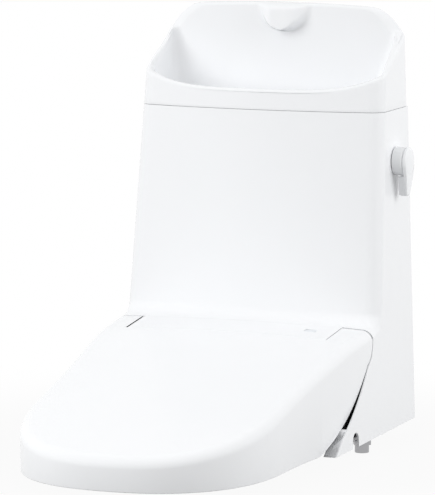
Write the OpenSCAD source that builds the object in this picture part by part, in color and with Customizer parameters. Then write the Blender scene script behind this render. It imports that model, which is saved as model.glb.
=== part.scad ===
// Toilet top unit: a cistern cabinet with a hand-wash basin and a washing seat with its lid
// Origin: midway between the two fixing holes, on the underside of the base plate
// Millimetres, +Z up, the lid points along -Y, +X is the flush lever's side

/* [Cabinet] */
// Width across the side panels at their bottom edge
body_w = 411; // [405:1:425]
// How far each side panel leans in for each millimetre of height
side_taper = 0.031; // [0.025:0.001:0.035]
// Distance from the fixing holes back to the rear face
back_reach = 200; // [196:1:206]
// Height of the seam between the cabinet and the basin
seam_z = 468; // [460:1:480]
// Depth of the cabinet at the seam, on the centre line
tank_depth = 136; // [134:1:138]
// Lean of the cabinet's front face, in degrees
front_lean = 7; // [6:0.25:8]
// Corner radius of the cabinet, seen from above
tank_corner_r = 20; // [17:1:23]
// Outward bow of the cabinet's front face
front_bow = 20; // [18:1:22]
// Hollow radius where the front face meets the deck
foot_r = 20; // [18:1:24]
// Wall of the cabinet
wall = 3; // [2.5:0.25:3.5]

/* [Deck] */
// Height of the deck at its front edge, on the centre line
deck_z = 156.5; // [155:0.5:158]
// How far the deck rises for each millimetre towards the cabinet's front
deck_rise = 0.114; // [0.1:0.002:0.12]
// Edge radius of the deck
deck_corner_r = 14; // [12:1:16]
// Reach of the deck in front of the fixing holes
deck_reach = 50; // [48:1:52]
// Width of each lid ear, in from the side panel's lower edge
ear_w = 50.5; // [48.5:0.5:52.5]
// Front wall of the seat unit, in front of the fixing holes
unit_reach = 100; // [97:1:103]
// Length of the side wings in front of the fixing holes
wing_reach = 171; // [165:1:175]

/* [Basin] */
// Height of the rear rim at its middle
rim_back = 618; // [605:1:630]
// Height of the front rim at its middle
rim_front = 498.5; // [495:0.5:502]
// Height of the side rim at the front corner
rim_corner = 523; // [520:1:527]
// Width of the rim
rim_w = 10; // [9:0.5:12]
// Height of the basin floor at its edge
floor_z = 474; // [471:1:478]
// Radius of the drain hole
drain_r = 19; // [17:0.5:21]
// How far the spout hood stands out from the back wall
hood_out = 20; // [16:1:24]

/* [Lid and seat] */
// Reach of the lid in front of the fixing holes
lid_reach = 507; // [495:1:520]
// How far the lid's ears stand in from the side panel's lower edge
lid_inset = 4.5; // [4:0.25:5.5]
// How much each side of the lid draws in from the ears to where its round front begins
lid_taper = 17; // [13:1:21]
// Length of the lid's round front
lid_nose = 207; // [195:1:215]
// Height of the lid's lower edge above the rim of the bowl
lid_bottom = 4; // [3:0.5:6]
// Wall of the lid
lid_wall = 3; // [2.5:0.25:3.5]
// Shoulder radius between the lid's top and its side
lid_shoulder = 15; // [13:1:17]
// Height of the hinge axis
hinge_z = 142; // [141:0.5:143]
// Distance of the hinge axis in front of the fixing holes
hinge_y = 15; // [14:0.5:16]
// Radius of the hinge pins
pin_r = 3.5; // [3:0.25:4]
// Radius of the pocket that each lid ear turns in
pocket_r = 36; // [35.5:0.25:37]
// Gap between the lid and what it closes against
lid_gap = 1.2; // [1:0.1:1.5]
// Half length of the seat opening
seat_open_l = 155; // [145:1:160]
// Half width of the seat opening
seat_open_w = 108; // [100:1:115]
// Height of the underside of the seat
seat_under = 7; // [6:0.5:9]
// Thickness of the seat
seat_t = 24; // [20:1:26]

/* [Cistern] */
// How far the inner tank's sides stand in from the side panels' lower edge
tank_side = 30.5; // [29.5:0.5:40.5]
// Depth of the inner tank
tank_d = 100; // [94:1:102]
// Height of the underside of the inner tank
tank_z = 70; // [66:1:80]
// Distance from the inner tank's top up to the seam
tank_gap = 38; // [36:1:53]
// Wall of the inner tank
tank_wall = 3; // [2.5:0.25:4]
// Outer radius of the flush outlet
outlet_r = 30; // [28:0.5:32]
// How far the flush outlet reaches below the base plate
outlet_drop = 25; // [15:1:30]
// Height of the lever's axis
lever_z = 393; // [388:1:398]
// Distance of the lever's axis from the rear face
lever_back = 62; // [58:1:68]
// Radius of the lever's boss
lever_r = 21; // [20:0.5:22]
// Length of the lever from its axis to its tip
lever_l = 51; // [46:1:56]

/* [Mounting] */
// Distance between the two fixing holes
fix_spacing = 140; // [130:1:155]
// Radius of the fixing holes
fix_r = 5; // [4:0.25:6]
// Thickness of the base plate
plate_t = 6; // [5:0.5:8]
// Radius of the water inlet's thread
inlet_r = 10.4; // [9.5:0.1:10.5]
// Distance of the water inlet's tail behind the fixing holes
inlet_y = 15; // [10:1:20]
// How far the water inlet reaches below the base plate
inlet_drop = 21; // [16:1:24]
// Clearance between pieces that slide or turn
slip = 0.05; // [0.02:0.01:0.09]
// Clearance between pieces that are pushed together
play = 0.3; // [0.2:0.05:0.5]

/* [Hidden] */
$fn = 48;

big = 900;
white = [0.95, 0.95, 0.95];
grey = [0.62, 0.65, 0.68];
steel = [0.75, 0.76, 0.78];
rubber = [0.2, 0.2, 0.21];
brass = [0.62, 0.6, 0.5];

// Outer half width of the cabinet at a height
function side_x(z) = body_w / 2 - side_taper * z;
// Front face of the cabinet at a height, before the foot
function tank_y(z) = back_reach - tank_depth - (seam_z - z) * tan(front_lean);
deck_half = body_w / 2 - ear_w;
lid_half_rear = body_w / 2 - lid_inset;
lid_half_front = lid_half_rear - lid_taper;
tank_w = body_w - 2 * tank_side;
tank_h = seam_z - tank_z - tank_gap;
function sq(a) = a * a;
function mix(a, b, t) = a + (b - a) * t;
function unit(v) = v / norm(v);
function clamp(v, lo, hi) = min(max(v, lo), hi);
function average(v) = v * [for (i = v) 1] / len(v);
function bezier(a, b, c, t) = sq(1 - t) * a + 2 * t * (1 - t) * b + sq(t) * c;

// Deck in the side view
function deck_line(y) = deck_z + deck_rise * (y + deck_reach);
// Centre of the hollow foot in the side view, a radius away from the deck and from the front face
foot_gap = [tank_y(0) - foot_r / cos(front_lean), deck_line(0) + foot_r * norm([1, deck_rise])];
foot_y = (foot_gap[0] + tan(front_lean) * foot_gap[1]) / (1 - tan(front_lean) * deck_rise);
foot_c = [foot_y, foot_gap[1] + deck_rise * foot_y];
deck_crown = 6;

// Closed shape through rows of points, each row a closed loop, with a fan closing each end
module grid(rows) {
    m = len(rows);
    n = len(rows[0]);
    ends = [for (r = [rows[0], rows[m - 1]]) [for (k = [0:2]) average([for (p = r) p[k]])]];
    sides = [for (i = [0:m - 2], j = [0:n - 1], k = [0, 1])
        let (a = i * n + j, b = i * n + (j + 1) % n, c = a + n, d = b + n) k == 0 ? [a, b, d] : [a, d, c]];
    first = [for (j = [0:n - 1]) [m * n, (j + 1) % n, j]];
    last = [for (j = [0:n - 1]) [m * n + 1, (m - 1) * n + j, (m - 1) * n + (j + 1) % n]];
    polyhedron(concat([for (r = rows, p = r) p], ends), concat(sides, first, last), convexity = 8);
}
// Plate with a side-view outline, from x = a to x = b
module slab(a, b) {
    translate([a, 0, 0]) rotate([90, 0, 90]) linear_extrude(b - a) children();
}
module both_sides() {
    children();
    mirror([1, 0, 0]) children();
}
module tube(r_out, r_in, h) {
    difference() {
        cylinder(r = r_out, h = h);
        translate([0, 0, -1]) cylinder(r = r_in, h = h + 2);
    }
}
module round_rect(w, d, r) {
    square([w - 2 * r, d], center = true);
    square([w, d - 2 * r], center = true);
    for (x = [-1, 1], y = [-1, 1]) translate([x * (w / 2 - r), y * (d / 2 - r)]) circle(r);
}
// Hose of 8 sides along a route of points
function ring_at(p, t, r) = let (u = unit(t), s = abs(u[0]) > 0.9 ? [0, 1, 0] : [1, 0, 0],
    a = unit(cross(u, s)), b = cross(u, a)) [for (k = [0:7]) p + r * (cos(k * 45) * a + sin(k * 45) * b)];
module hose(route, r) {
    n = len(route);
    grid([for (i = [n - 1:-1:0]) ring_at(route[i], route[min(i + 1, n - 1)] - route[max(i - 1, 0)], r)]);
}

// Section of the cabinet square to its front line: a flat part and a round corner
flat_steps = 4;
arc_steps = 6;
function half_section(w, r, crown) = concat(
    [for (k = [0:flat_steps - 1]) let (x = (w - r) * k / flat_steps) [x, crown * sq(x / w)]],
    [for (k = [0:arc_steps]) let (a = 90 * k / arc_steps, x = w - r + r * sin(a))
        [x, crown * sq(x / w) + r * (1 - cos(a))]]);
function section(p, n, w_in, r, crown) = let (w = side_x(p[1] - n[1] * (crown + r)) - w_in,
    h = half_section(w, r, crown), m = len(h))
    concat([for (k = [0:m - 2]) let (s = h[m - 1 - k]) [-s[0], p[0] - n[0] * s[1], p[1] - n[1] * s[1]]],
           [for (s = h) [s[0], p[0] - n[0] * s[1], p[1] - n[1] * s[1]]]);
// Front line of the cabinet: [y, z], its normal, and its corner radius, from the deck to above the seam
deck_ys = [-back_reach, -120, -deck_reach, -5];
function front_line() = concat(
    [for (i = [0:len(deck_ys) - 1]) let (y = deck_ys[i])
        [[y, deck_line(y)], i == 0 ? [0, 1] : unit([-deck_rise, 1]), deck_corner_r]],
    [for (k = [0:6]) let (a = mix(90 + atan(deck_rise), 180 - front_lean, k / 6))
        [foot_c - foot_r * [cos(a), sin(a)], [cos(a), sin(a)], mix(deck_corner_r, tank_corner_r, k / 6)]],
    [for (z = [mix(foot_c[1], seam_z, 0.5), seam_z + 30])
        [[tank_y(z), z], z > seam_z ? [-1, 0] : [-cos(front_lean), sin(front_lean)], tank_corner_r]]);
// Solid of the cabinet, drawn in by an inset, with its foot left open below and behind
module cabinet_loft(inset) {
    line = front_line();
    low = inset > 0 ? -20 : 0;
    back = back_reach + (inset > 0 ? 20 : 0);
    n = len(line);
    nd = len(deck_ys);
    grid([for (i = [n - 1:-1:0])
        let (p = line[i][0] - inset * line[i][1], nv = line[i][1], r = line[i][2] - inset,
             crown = mix(deck_crown, front_bow, clamp((i - nd) / 6, 0, 1)),
             anchor = i < nd ? [p[0], low]
                    : i < nd + 7 ? [mix(foot_c[0], back, (i - nd + 1) / 7), low]
                    : [back, p[1]],
             w = side_x(anchor[1]) - inset)
        concat(section(p, nv, inset, r, crown), [[w, anchor[0], anchor[1]], [-w, anchor[0], anchor[1]]])]);
}
// Seam between a side panel and the lid, in the side view, moved towards the lid by g
seam_start = -65;
function seam(g) = let (r = pocket_r - g, m = g * [-0.6, 0.8],
    a = [-hinge_y, hinge_z] + r * [cos(seam_start), sin(seam_start)],
    b = [-72, 28] + m, c = [-wing_reach, 3] + m) [for (k = [0:8]) bezier(a, b, c, k / 8)];
module pocket_2d(g) {
    translate([-hinge_y, hinge_z]) circle(pocket_r - g, $fn = 72);
    polygon(concat([[-hinge_y, hinge_z]], seam(g), [[-wing_reach - 8, 0 + g], [-wing_reach - 8, -40],
        [-big, -40], [-big, big], [-hinge_y, big]]));
}
// Everything in front of the seat unit's middle, in the side view
deck_edge_r = norm([hinge_y - deck_reach, deck_line(-deck_reach) - hinge_z]) - 0.6;
module unit_front_2d(g) {
    difference() {
        polygon([[-hinge_y - 14, big], [-hinge_y - 14, hinge_z - 14], [-hinge_y - 24, hinge_z - 30],
            [-unit_reach + 8 + g, 100], [-unit_reach + g, 80], [-unit_reach + g, -40],
            [-big, -40], [-big, big]]);
        translate([-hinge_y, hinge_z]) circle(deck_edge_r - g, $fn = 72);
        translate([-hinge_y - 40, hinge_z - 60 - g]) square([60, 40]);
    }
}
// Cabinet trimmed to the seat unit's front, its wings and the lid's pockets
module cabinet_block(inset) {
    wing_x = deck_half + 31;
    difference() {
        cabinet_loft(inset);
        slab(-deck_half - 0.01, deck_half + 0.01) unit_front_2d(inset);
        both_sides() {
            slab(deck_half - inset, 260) pocket_2d(-inset);
            translate([deck_half - inset, -big, -50])
                cube([wing_x - deck_half + inset + (inset > 0 ? 80 : 0), big - unit_reach + inset, 300]);
        }
        translate([-big / 2, -big / 2, seam_z]) cube([big, big, big]);
    }
}
// Slanted face where a wing draws in to the lid
module wing_bevel() {
    a = [side_x(42) + 0.5, -99, 42];
    b = [side_x(0) + 0.5, -wing_reach + 20, -1];
    c = [deck_half + 33, -wing_reach - 3, -1];
    d = [side_x(0) + 30, -wing_reach - 30, 60];
    polyhedron([a, b, c, d], [[0, 1, 2], [0, 2, 3], [0, 3, 1], [1, 3, 2]]);
}
notch_y = -62;
notch_r = 12.5;
lever_y = back_reach - lever_back;
nozzle_x = 16;
nozzle_r = 8;
window_c = [deck_half - 37, -15];
window_s = [18, 13];
module cabinet_cover() {
    color(white) difference() {
        cabinet_block(0);
        cabinet_block(wall);
        both_sides() wing_bevel();
        slab(side_x(0) - 12, side_x(0) + 5) {
            translate([notch_y, 22 - notch_r]) circle(notch_r);
            translate([notch_y - notch_r, -10]) square([2 * notch_r, 32 - notch_r]);
        }
        on_lever_axis(side_x(lever_z) - 30) cylinder(r = neck_r + play, h = 60);
        translate([-nozzle_x - nozzle_r - 7, -unit_reach - 5, 6]) cube([2 * (nozzle_x + nozzle_r + 7), 20, 44]);
        translate([window_c[0] - window_s[0] / 2, window_c[1] - window_s[1] / 2, 130])
            cube([window_s[0], window_s[1], 60]);
        both_sides() slab(deck_half - 12, deck_half + 12) translate([-hinge_y, hinge_z]) circle(pin_r + slip);
    }
}

// Plan outline of the basin at a height, drawn in from each side; half of it from rear to front
hood_half = 41;
hood_flat = 20;
basin_half = concat(
    [for (x = [0, hood_flat / 2, hood_flat, 27, 34, hood_half]) [0, x, 0]],
    [for (f = [0.2, 0.45, 0.7, 0.85, 1]) [1, f, 0]],
    [for (a = [30, 60, 90]) [2, a, 0]],
    [for (f = [0.2, 0.5, 0.8]) [3, f, 0]],
    [for (a = [0:15:90]) [4, a, 0]],
    [for (f = [0.75, 0.5, 0.25, 0]) [5, f, 0]]);
function basin_xy(s, z, side, front, rear, rf, rr) =
    let (w = side_x(z) - side, yf = tank_y(z) + front, yb = back_reach - rear,
         x = s[0] == 4 ? w - rf + rf * cos(s[1]) : (w - rf) * s[1],
         bow = front_bow * sq(x / w))
    s[0] == 0 ? [s[1], yb]
    : s[0] == 1 ? [mix(hood_half, w - rr, s[1]), yb]
    : s[0] == 2 ? [w - rr + rr * sin(s[1]), yb - rr + rr * cos(s[1])]
    : s[0] == 3 ? [w, mix(yb - rr, yf + front_bow + rf, s[1])]
    : s[0] == 4 ? [x, yf + bow + rf * (1 - sin(s[1]))]
    : [x, yf + bow];
// Height of the rim above a place on the outline
rim_w_at = side_x(rim_corner);
function rim_front_z(x) = rim_front + (rim_corner - rim_front) * pow(x / rim_w_at, 4);
function rim_side_z(y) = rim_corner + 0.6 * (y - tank_y(rim_corner) - 34)
    + 20 * sq(max(0, (y - back_reach + 30) / 30));
function rim_rear_z(x) = rim_back - 5 * sq(x / 160) - 16 * sq(max(0, (x - 155) / 30));
function rim_z(s) = let (p = basin_xy(s, rim_corner, 0, 0, 0, tank_corner_r, 8))
    s[0] < 2 ? rim_rear_z(p[0])
    : s[0] == 2 ? mix(rim_rear_z(p[0]), rim_side_z(p[1]), s[1] / 90)
    : s[0] == 3 ? rim_side_z(p[1])
    : s[0] == 4 ? mix(rim_side_z(p[1]), rim_front_z(p[0]), s[1] / 90)
    : rim_front_z(p[0]);
function smooth(t) = let (c = clamp(t, 0, 1)) c * c * (3 - 2 * c);
// How far the spout hood stands out of the back wall: in full above its lower edge
hood_drop = 44;
hood_fade = 6;
function hood(s, z) = s[0] == 0 ? hood_out * smooth((hood_half - s[1]) / (hood_half - hood_flat))
    * smooth((z - rim_back + hood_drop) / hood_fade) : 0;
// One ring of the basin: depth k runs from the rim (0) to the floor's edge (1)
drain_c = [0, back_reach - 66];
drain_z = floor_z - 7;
function wall_pt(s, k, lift, thick) = let (z = mix(rim_z(s) - 5 - 0.3 * hood(s, rim_back), floor_z + 9, k) + lift,
    rear = 12 + 8 * k + hood(s, z - thick) - thick)
    let (p = basin_xy(s, z, rim_w + 8 * k - thick, rim_w + 3 * k - thick, rear,
                      mix(17, 24, k), mix(14, 24, k))) [p[0], p[1], z];
// Depth at which the hood's front reaches a height above its lower edge
function hood_k(up) = (hood_drop - up - 5 - 0.3 * hood_out) / (rim_back - 5 - 0.3 * hood_out - floor_z - 9);
function floor_pt(s, inset, z) = let (p = basin_xy(s, floor_z + 9, rim_w + 8 + inset, rim_w + 3 + inset,
    20 + inset, 24 - inset / 2, 24 - inset / 2)) [p[0], p[1], z];
function drain_pt(s, f, z) = let (p = floor_pt(s, 9, 0))
    [mix(drain_c[0], p[0], f), mix(drain_c[1], p[1], f), z];
function skin_pt(s, z, inset) = let (p = basin_xy(s, z, inset, inset, inset, tank_corner_r - inset, max(8 - inset, 3)))
    [p[0], p[1], z];
function mirrored(ring) = concat(ring,
    [for (i = [len(ring) - 2:-1:1]) [-ring[i][0], ring[i][1], ring[i][2]]]);
basin_wall = 3;
// The basin stands on the seam with a gap, and a lip under it drops into the cabinet
basin_foot = seam_z + 1;
lip_drop = 8;
lip_t = 2;
module basin_shell() {
    b = basin_wall;
    function depths(up) = [1, 0.7, 0.48, hood_k(up), hood_k(up + hood_fade / 2), hood_k(up + hood_fade), 0.12, 0];
    function edge(k) = k == 0 || k == 1 ? b : 0;
    rows = concat([
        [for (s = basin_half) drain_pt(s, 0.2, drain_z)],
        [for (s = basin_half) drain_pt(s, 0.6, mix(drain_z, floor_z, 0.45))],
        [for (s = basin_half) floor_pt(s, 9, floor_z)],
        [for (s = basin_half) floor_pt(s, 3, floor_z + 3)]],
        [for (k = depths(0)) [for (s = basin_half) wall_pt(s, k, 0, 0)]], [
        [for (s = basin_half) wall_pt(s, 0, 3.5, 1.5)],
        [for (s = basin_half) skin_pt(s, rim_z(s), rim_w / 2)],
        [for (s = basin_half) skin_pt(s, rim_z(s) - 1.5, 1.5)],
        [for (s = basin_half) skin_pt(s, rim_z(s) - 5, 0)],
        [for (s = basin_half) skin_pt(s, basin_foot, 0)],
        [for (s = basin_half) skin_pt(s, basin_foot, wall + 2 * play)],
        [for (s = basin_half) skin_pt(s, seam_z - lip_drop, wall + 2 * play)],
        [for (s = basin_half) skin_pt(s, seam_z - lip_drop, wall + 2 * play + lip_t)],
        [for (s = basin_half) skin_pt(s, basin_foot + 3, wall + 2 * play + lip_t)],
        [for (s = basin_half) skin_pt(s, basin_foot + 6, b)],
        [for (s = basin_half) skin_pt(s, rim_z(s) - 7, b)]],
        [for (i = [7:-1:0]) let (k = depths(b)[i]) [for (s = basin_half) wall_pt(s, k, -edge(k), b)]], [
        [for (s = basin_half) floor_pt(s, 1, floor_z - 0.4)],
        [for (s = basin_half) floor_pt(s, 8, floor_z - b)],
        [for (s = basin_half) drain_pt(s, 0.75, drain_z - b)],
        [for (s = basin_half) drain_pt(s, 0.2, drain_z - b)]]);
    grid([for (i = [len(rows) - 1:-1:0]) mirrored(rows[i])]);
}
// Outlet of the spout, in the hood's lower face
spout_c = [0, back_reach - 24, rim_back - hood_drop];
spout_tilt = 10;
module spout_axis() {
    translate(spout_c) rotate([-spout_tilt, 0, 0]) children();
}
shank_y = back_reach - 7;
module basin() {
    color(white) difference() {
        basin_shell();
        translate([drain_c[0], drain_c[1], drain_z - 20]) cylinder(r = drain_r, h = 40);
        translate([drain_c[0], drain_c[1], drain_z]) cylinder(r = drain_r + 3 + play, h = 20);
        spout_axis() translate([0, 0, -14]) cylinder(r = 6 + play, h = 24);
    }
}
module basin_strainer() {
    r = drain_r - 3 - play;
    color(steel) translate([drain_c[0], drain_c[1], drain_z]) difference() {
        union() {
            cylinder(r = drain_r + 3, h = 1.5);
            translate([0, 0, -7]) cylinder(r = r, h = 8);
        }
        translate([0, 0, -8]) cylinder(r = r - 1.5, h = 8);
        cylinder(r = 1.6, h = 5, center = true);
        for (a = [0:60:300]) rotate(a) translate([5.6, 0, -1]) cylinder(r = 1.8, h = 5);
    }
}
module drain_tail() {
    color(grey) translate([drain_c[0], drain_c[1], 0]) difference() {
        union() {
            translate([0, 0, tank_z + tank_h - 15]) cylinder(r = drain_r - play, h = drain_z - tank_z - tank_h + 14);
            translate([0, 0, drain_z - basin_wall - 4 - play]) cylinder(r = drain_r + 5, h = 4);
        }
        translate([0, 0, tank_z + tank_h - 16]) cylinder(r = drain_r - 3, h = 300);
    }
}
module spout_nozzle() {
    color(grey) {
        difference() {
            union() {
                spout_axis() translate([0, 0, -5]) cylinder(r = 6, h = 24);
                translate([0, spout_c[1] + 2, spout_c[2] + 14]) rotate([-90, 0, 0])
                    cylinder(r = 4, h = shank_y - spout_c[1] - 2);
                translate([0, shank_y, spout_c[2] + 8]) cylinder(r = 3.8, h = 10);
            }
            spout_axis() translate([0, 0, -6]) cylinder(r = 4, h = 16);
        }
    }
}
// Tube from the fill valve up to the spout: points from the valve's top, then from the seam at the rear
spout_route = [[0, 0, 0.2], [0, 0, 8], [-2, 12, 30], [-14, 28, 53], [-40, 44, 78]];
spout_rise = [[70, -10.5, -15], [40, -10, 6], [22, -9.5, 30], [8, -8.5, 58], [1, -7.6, 82], [0, -7, 99]];
module spout_tube() {
    top = [0, shank_y, spout_c[2] + 7.8];
    color(white) hose(concat(
        [for (p = spout_route) p + [fill_x, tank_c, pivot_z + 19]],
        [for (p = spout_rise) p + [0, back_reach, seam_z]], [top]), 3.5);
}

// Rear panel and its screws
screw_zs = [40, 240, 440];
function screw_x(z) = side_x(z) - wall - 8;
panel_t = 3.3;
module rear_panel() {
    w0 = side_x(0) - wall - play;
    w1 = side_x(seam_z) - wall - play;
    color(white) difference() {
        translate([0, back_reach, 0]) rotate([90, 0, 0]) linear_extrude(panel_t)
            polygon([[-w0, 0], [w0, 0], [w1, seam_z - play], [-w1, seam_z - play]]);
        both_sides() for (z = screw_zs) translate([screw_x(z), back_reach, z]) rotate([90, 0, 0]) {
            translate([0, 0, -1]) cylinder(r = 2.2, h = 6);
            translate([0, 0, -1]) cylinder(r = 4.3, h = 2.8);
        }
    }
}
module rear_screws() {
    color(steel) both_sides() for (z = screw_zs) translate([screw_x(z), back_reach, z]) rotate([90, 0, 0])
        difference() {
            union() {
                translate([0, 0, 0.2]) cylinder(r = 4, h = 1.6);
                cylinder(r = 1.9, h = 13);
            }
            translate([-3, -0.5, -1]) cube([6, 1, 2]);
            translate([-0.5, -3, -1]) cube([1, 6, 2]);
        }
}

// Cistern inside the cabinet
tank_c = back_reach - 10 - tank_d / 2;
fill_x = tank_w / 2 - 35;
// How far the fill valve's tail reaches below the tank, and its pivot below the lever's axis
valve_tail = 12;
valve_drop = 53;
outlet_c = [0, tank_c];
module inner_tank() {
    color(grey) difference() {
        translate([0, tank_c, tank_z]) linear_extrude(tank_h) round_rect(tank_w, tank_d, 10);
        translate([0, tank_c, tank_z + tank_wall]) linear_extrude(tank_h)
            round_rect(tank_w - 2 * tank_wall, tank_d - 2 * tank_wall, 10 - tank_wall);
        translate([0, tank_c, tank_z - 1]) cylinder(r = outlet_r - 4, h = 10);
        translate([fill_x, tank_c, tank_z - 1]) cylinder(r = 8 + play, h = 10);
        on_lever_axis(tank_w / 2 - tank_wall - 1) cylinder(r = neck_r + play, h = tank_wall + 2);
    }
}
stand_w = tank_w - 40;
module tank_stand() {
    h = tank_z - plate_t;
    color(grey) translate([0, tank_c, plate_t]) difference() {
        union() {
            linear_extrude(h) round_rect(stand_w, tank_d - 10, 10);
            linear_extrude(4) square([stand_w + 36, tank_d - 24], center = true);
        }
        translate([0, 0, -1]) linear_extrude(h + 2) round_rect(stand_w - 8, tank_d - 18, 8);
        for (x = [-100, 0, 100]) translate([x, 50, h - 42]) rotate([90, 0, 0]) cylinder(r = 34, h = 100);
        for (x = [-100, 0, 100]) translate([x - 34, -50, 12]) cube([68, 100, h - 54]);
        both_sides() for (y = [-1, 1]) translate([stand_w / 2 + 10, y * 20, -1]) cylinder(r = 2.5, h = 9);
    }
}
module base_screws() {
    color(steel) both_sides() for (y = [-1, 1]) translate([stand_w / 2 + 10, tank_c + y * 20, plate_t + 4]) {
        cylinder(r = 4.5, h = 2.5);
        translate([0, 0, -4 - plate_t + 1]) cylinder(r = 2.4, h = 4 + plate_t);
    }
}
// The pipe has a shoulder above its spigot, and the gasket sits round the shoulder
gasket_t = 12;
module outlet_pipe() {
    shoulder = outlet_r + 1;
    color(grey) translate([outlet_c[0], outlet_c[1], 0]) {
        translate([0, 0, -outlet_drop]) tube(outlet_r, outlet_r - 3.5, outlet_drop);
        translate([0, 0, -gasket_t]) tube(shoulder, outlet_r - 3.5, tank_z + gasket_t - play);
        translate([0, 0, tank_z - 6 - play]) tube(outlet_r + 9, outlet_r - 1, 6);
    }
}
module outlet_gasket() {
    color(rubber) translate([outlet_c[0], outlet_c[1], -gasket_t]) difference() {
        cylinder(r1 = outlet_r + 8, r2 = outlet_r + 12, h = gasket_t, $fn = 48);
        translate([0, 0, -1]) cylinder(r = outlet_r + 1 + slip, h = gasket_t + 2);
    }
}
seat_top = tank_z + tank_wall + 24;
flap_x = -38;
flap_z = seat_top + 5;
module valve_seat() {
    color(white) difference() {
        union() {
            translate([0, tank_c, tank_z + tank_wall]) cylinder(r = outlet_r + 6, h = 5);
            translate([0, tank_c, tank_z - 8]) cylinder(r = outlet_r - 4 - play, h = seat_top - tank_z + 8);
            for (y = [-1, 1]) translate([flap_x - 4, tank_c + y * 17 - 2, tank_z + tank_wall])
                cube([10, 4, flap_z - tank_z - tank_wall + 4]);
            translate([flap_x, tank_c - 23, flap_z]) rotate([-90, 0, 0]) cylinder(r = 2, h = 46);
            translate([flap_x - 16, tank_c, tank_z + tank_wall]) cylinder(r = 13, h = 14);
            translate([flap_x - 16, tank_c - 6, tank_z + tank_wall]) cube([34, 12, 5]);
        }
        translate([0, tank_c, tank_z - 10]) cylinder(r = outlet_r - 7, h = 60);
        translate([flap_x - 16, tank_c, tank_z + tank_wall + 4]) cylinder(r = 10 + play, h = 20);
    }
}
module overflow_tube() {
    color(white) translate([flap_x - 16, tank_c, tank_z + tank_wall + 4 + play]) tube(10, 8, tank_h - 60);
}
module flapper() {
    color(rubber) difference() {
        union() {
            translate([0, tank_c, seat_top + play]) cylinder(r = outlet_r - 1, h = 4);
            translate([0, tank_c, seat_top + play]) cylinder(r1 = 16, r2 = 10, h = 10);
            for (y = [-1, 1]) hull() {
                translate([flap_x, tank_c + y * 11 - 2.5, flap_z]) rotate([-90, 0, 0])
                    cylinder(r = 4.2, h = 5, $fn = 32);
                translate([-8, tank_c + y * 11 - 2.5, seat_top + play]) cube([4, 5, 4]);
            }
        }
        translate([flap_x, tank_c - 30, flap_z]) rotate([-90, 0, 0]) cylinder(r = 2 + slip, h = 60);
    }
}
crank_x = 32;
crank_l = 28;
crank_tip_r = 5;
chain_r = 2.2;
// The chain's top is in front of the crank's tip, clear of its sweep
chain_top = [crank_x, lever_y - crank_l - crank_tip_r - chain_r - 3 * play, lever_z];
chain_low = [16, tank_c, seat_top + 12];
module lift_chain() {
    n = floor(norm(chain_top - chain_low) / (2 * chain_r + play));
    color(steel) for (i = [0:n]) translate(mix(chain_low, chain_top, i / n)) sphere(r = chain_r, $fn = 16);
}
pivot_x = fill_x - 20;
pivot_z = lever_z - valve_drop;
module fill_valve() {
    color(white) difference() {
        union() {
            translate([fill_x, tank_c, tank_z - valve_tail]) cylinder(r = 8, h = valve_tail + 8);
            translate([fill_x, tank_c, tank_z + tank_wall]) cylinder(r = 14, h = 6);
            translate([fill_x, tank_c, tank_z + tank_wall]) cylinder(r = 9, h = pivot_z - tank_z - 20);
            translate([fill_x, tank_c, pivot_z - 18]) cylinder(r = 15, h = 30);
            translate([fill_x, tank_c, pivot_z + 11]) cylinder(r = 10, h = 8);
            for (y = [-1, 1]) translate([pivot_x - 5, tank_c + y * 7 - 1.5, pivot_z - 5]) cube([16, 3, 10]);
            translate([pivot_x, tank_c - 8, pivot_z]) rotate([-90, 0, 0]) cylinder(r = 1.5, h = 16);
        }
        translate([fill_x, tank_c, tank_z - valve_tail - 1]) cylinder(r = 5, h = 24);
    }
}
float_x = pivot_x - 45;
module float_arm() {
    color(white) difference() {
        union() {
            translate([pivot_x, tank_c - 4.5, pivot_z]) rotate([-90, 0, 0]) cylinder(r = 4, h = 9);
            translate([float_x - 6, tank_c - 4, pivot_z - 2]) cube([pivot_x - float_x + 6, 8, 4]);
            translate([float_x, tank_c, pivot_z - 2]) cylinder(r = 6, h = 7);
        }
        translate([pivot_x, tank_c - 6, pivot_z]) rotate([-90, 0, 0]) cylinder(r = 1.5 + slip, h = 12);
    }
}
module float_cup() {
    color(white) translate([float_x, tank_c, pivot_z - 34]) rotate_extrude()
        polygon([[0, 0], [17, 0], [20, 3], [20, 32], [0, 32]]);
}
// Hose from the inlet to the fill valve: points from the inlet, then from the valve's tail
hose_start = [[0, 0, 46.2], [0, 0, 52], [-1, 5, 60], [-7, 19, 68], [-23, 41, 70]];
hose_end = [[0, -62, 0], [-16, -46, -15], [-19, -30, -24], [-12, -12, -27], [-2, -1, -22], [0, 0, -12], [0, 0, -0.2]];
module supply_hose() {
    color(steel) hose(concat([for (p = hose_start) p + [inlet_x, inlet_y, 0]],
        [for (p = hose_end) p + [fill_x, tank_c, tank_z - valve_tail]]), 5);
}

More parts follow.
